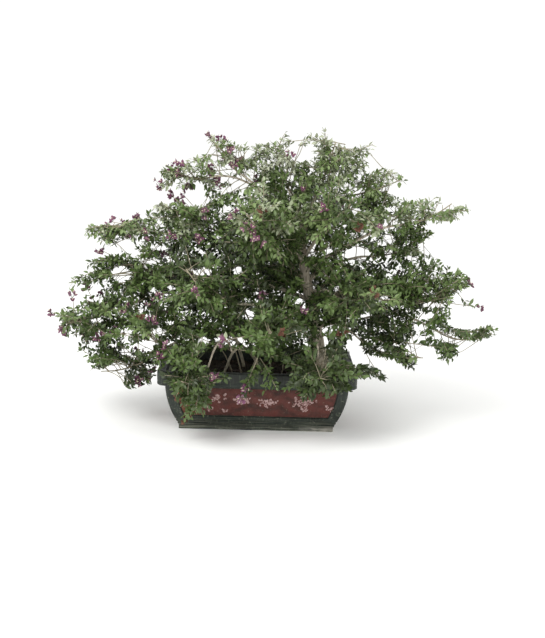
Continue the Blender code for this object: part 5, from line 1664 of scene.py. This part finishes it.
class BONSAI_OT_stage(bpy.types.Operator):
    """Add the pale floor, the soft light all round, two large lamps and the camera"""

    bl_idname = "bonsai.stage"
    bl_label = "Stage"

    def execute(self, context):
        stage = context.scene.bonsai.stage
        half = stage.floor_size / 2
        corners = np.array([(-half, -half, 0), (half, -half, 0), (half, half, 0), (-half, half, 0)])
        mesh = triangle_mesh("floor", corners, np.array([(0, 1, 2), (0, 2, 3)]))
        mesh.materials.append(plain_material("pale_floor", stage.floor_colour, 0.9, 0.2))
        floor = bpy.data.objects.new("floor", mesh)
        context.scene.collection.objects.link(floor)
        world = bpy.data.worlds.new("soft_sky")
        world.use_nodes = True
        background = world.node_tree.nodes["Background"]
        background.inputs["Color"].default_value = (1.0, 1.0, 1.0, 1.0)
        background.inputs["Strength"].default_value = stage.sky_strength
        context.scene.world = world
        context.scene.view_settings.view_transform = "Standard"
        self.add_lamp(context, "key_light", Vector((-2.2, -2.6, 4.2)), 2.6, stage.key_power)
        self.add_lamp(context, "fill_light", Vector((3.0, -3.0, 2.2)), 2.4, stage.fill_power)
        self.add_camera(context)
        return {"FINISHED"}

    def add_lamp(self, context, name, place, size, power):
        lamp = bpy.data.lights.new(name, "AREA")
        lamp.size = size
        lamp.energy = power
        obj = bpy.data.objects.new(name, lamp)
        obj.location = place
        obj.rotation_euler = (LAMPS_AIM - place).to_track_quat("-Z", "Y").to_euler()
        context.scene.collection.objects.link(obj)

    def add_camera(self, context):
        camera = bpy.data.cameras.new("camera")
        camera.sensor_width = SENSOR
        camera.lens = CAMERA_LENS
        camera.clip_end = 200.0
        obj = bpy.data.objects.new("camera", camera)
        turned = Matrix.Rotation(-CAMERA_YAW, 4, "Z") @ Matrix.Rotation(math.pi / 2 - CAMERA_PITCH, 4, "X")
        obj.matrix_world = Matrix.Translation(CAMERA_PLACE) @ turned @ Matrix.Rotation(CAMERA_ROLL, 4, "Z")
        context.scene.collection.objects.link(obj)
        context.scene.camera = obj


class BONSAI_OT_pot(bpy.types.Operator):
    """Add the glazed pot with its red panels and their worn sprigs"""

    bl_idname = "bonsai.pot"
    bl_label = "Pot"

    def execute(self, context):
        pot = context.scene.bonsai.pot
        add_piece("pot_glaze", make_pot_mesh(pot), glazed_stoneware(pot), ["pot"], smooth_to=40)
        add_piece("pot_panels", panel_arrays(pot), iron_red_slip(pot), smooth_to=40)
        add_piece("panel_sprigs", sprig_arrays(), worn_slip_relief(pot), smooth_to=60)
        return {"FINISHED"}


class BONSAI_OT_soil(bpy.types.Operator):
    """Add the lumpy soil and the fallen leaves on it"""

    bl_idname = "bonsai.soil"
    bl_label = "Soil"

    def execute(self, context):
        pot, plant = context.scene.bonsai.pot, context.scene.bonsai.plant
        soil = soil_arrays(pot.soil_bumps)
        add_piece("soil_surface", soil, damp_potting_soil(pot), ["soil"])
        # Fallen leaves: brown, dry and dull.
        dry = plain_material("dry_leaf_litter", plant.litter, 0.8, 0.3)
        litter = blade_arrays(litter_blades(plant), LEAF)
        add_piece("soil_litter", litter, dry, smooth_to=0)
        return {"FINISHED"}


class BONSAI_OT_limbs(bpy.types.Operator):
    """Add the trunk, the stems and the boughs with their bark in relief"""

    bl_idname = "bonsai.limbs"
    bl_label = "Trunk and boughs"

    def execute(self, context):
        plant = context.scene.bonsai.plant
        limbs = route_limbs()
        bark = weathered_bark(plant)
        pale = pale_stem_bark(plant)
        add_piece("trunk_bark", trunk_skin(), bark, ["trunk"], smooth_to=60)
        for prefix, material, sides, relief in (("stem", pale, 14, 0.22), ("bough", bark, 12, 0.30)):
            names = [name for name in limbs if name.startswith(prefix)]
            skins = [bark_skin(*smooth_route(limbs[name], 0.007), sides, relief, 2.2) for name in names]
            add_piece(f"{prefix}s_bark", joined(skins), material, names, smooth_to=60)
        return {"FINISHED"}


class BONSAI_OT_crown(bpy.types.Operator):
    """Grow the twigs, shoots, leaves, bracts and flowers of every mass"""

    bl_idname = "bonsai.crown"
    bl_label = "Crown"

    def execute(self, context):
        plant = context.scene.bonsai.plant
        crown = Crown(plant, route_limbs())
        # Twigs: grey-brown and dull. Suckers: pale and a little smoother. Shoots: green and smoother yet.
        grey = plain_material("grey_twig_bark", plant.twig_bark, 0.8, 0.3)
        add_piece("twigs", tube_arrays(crown.twigs, 5), grey, FOLIAGE)
        pale = plain_material("pale_sucker_bark", plant.stem_bark, 0.75, 0.3)
        add_piece("suckers", tube_arrays(crown.suckers, 8), pale)
        green = plain_material("green_shoot_bark", plant.shoot_bark, 0.7, 0.3)
        add_piece("shoots", tube_arrays(crown.shoots, 3), green)
        # Leaves: half glossy with wax, so that they catch the sky. Their greens by tone are lit and shaded
        # copies of one green, with painted shade and painted light.
        for tone, leaves in crown.leaves.items():
            waxy = plain_material(f"{tone}_waxy_leaf", getattr(plant, f"leaf_{tone}"), 0.45, 0.5)
            add_piece(f"leaves_{tone}", blade_arrays(leaves, LEAF), waxy)
        # Bracts: thin and papery, with hardly any gloss.
        for age, bracts in crown.bracts.items():
            papery = plain_material(f"{age}_papery_bract", getattr(plant, f"bract_{age}"), 0.75, 0.25)
            add_piece(f"bracts_{age}", blade_arrays(bracts, BRACT), papery)
        # True flowers: soft cream petals.
        cream = plain_material("cream_petal", plant.flower_cream, 0.6, 0.3)
        add_piece("flowers", flower_arrays(crown.flowers), cream, smooth_to=0)
        return {"FINISHED"}


class BONSAI_PT_sidebar(bpy.types.Panel):
    """The pieces of the bonsai and their settings"""

    bl_idname = "BONSAI_PT_sidebar"
    bl_label = "Bougainvillea Bonsai"
    bl_space_type = "VIEW_3D"
    bl_region_type = "UI"
    bl_category = "Bonsai"

    def draw(self, context):
        settings = context.scene.bonsai
        for group in (settings.stage, settings.pot, settings.plant):
            box = self.layout.box()
            for name in group.__annotations__:
                box.prop(group, name)
        for operator in STEPS:
            self.layout.operator(operator.bl_idname)


STEPS = (BONSAI_OT_stage, BONSAI_OT_pot, BONSAI_OT_soil, BONSAI_OT_limbs, BONSAI_OT_crown)
CLASSES = (PlantSettings, PotSettings, StageSettings, BonsaiSettings, *STEPS, BONSAI_PT_sidebar)


def register():
    for each in CLASSES:
        bpy.utils.register_class(each)
    bpy.types.Scene.bonsai = PointerProperty(type=BonsaiSettings)


def unregister():
    del bpy.types.Scene.bonsai
    for each in reversed(CLASSES):
        bpy.utils.unregister_class(each)


def main():
    register()
    bpy.ops.bonsai.stage()
    bpy.ops.bonsai.pot()
    bpy.ops.bonsai.soil()
    bpy.ops.bonsai.limbs()
    bpy.ops.bonsai.crown()


if __name__ == "__main__":
    main()
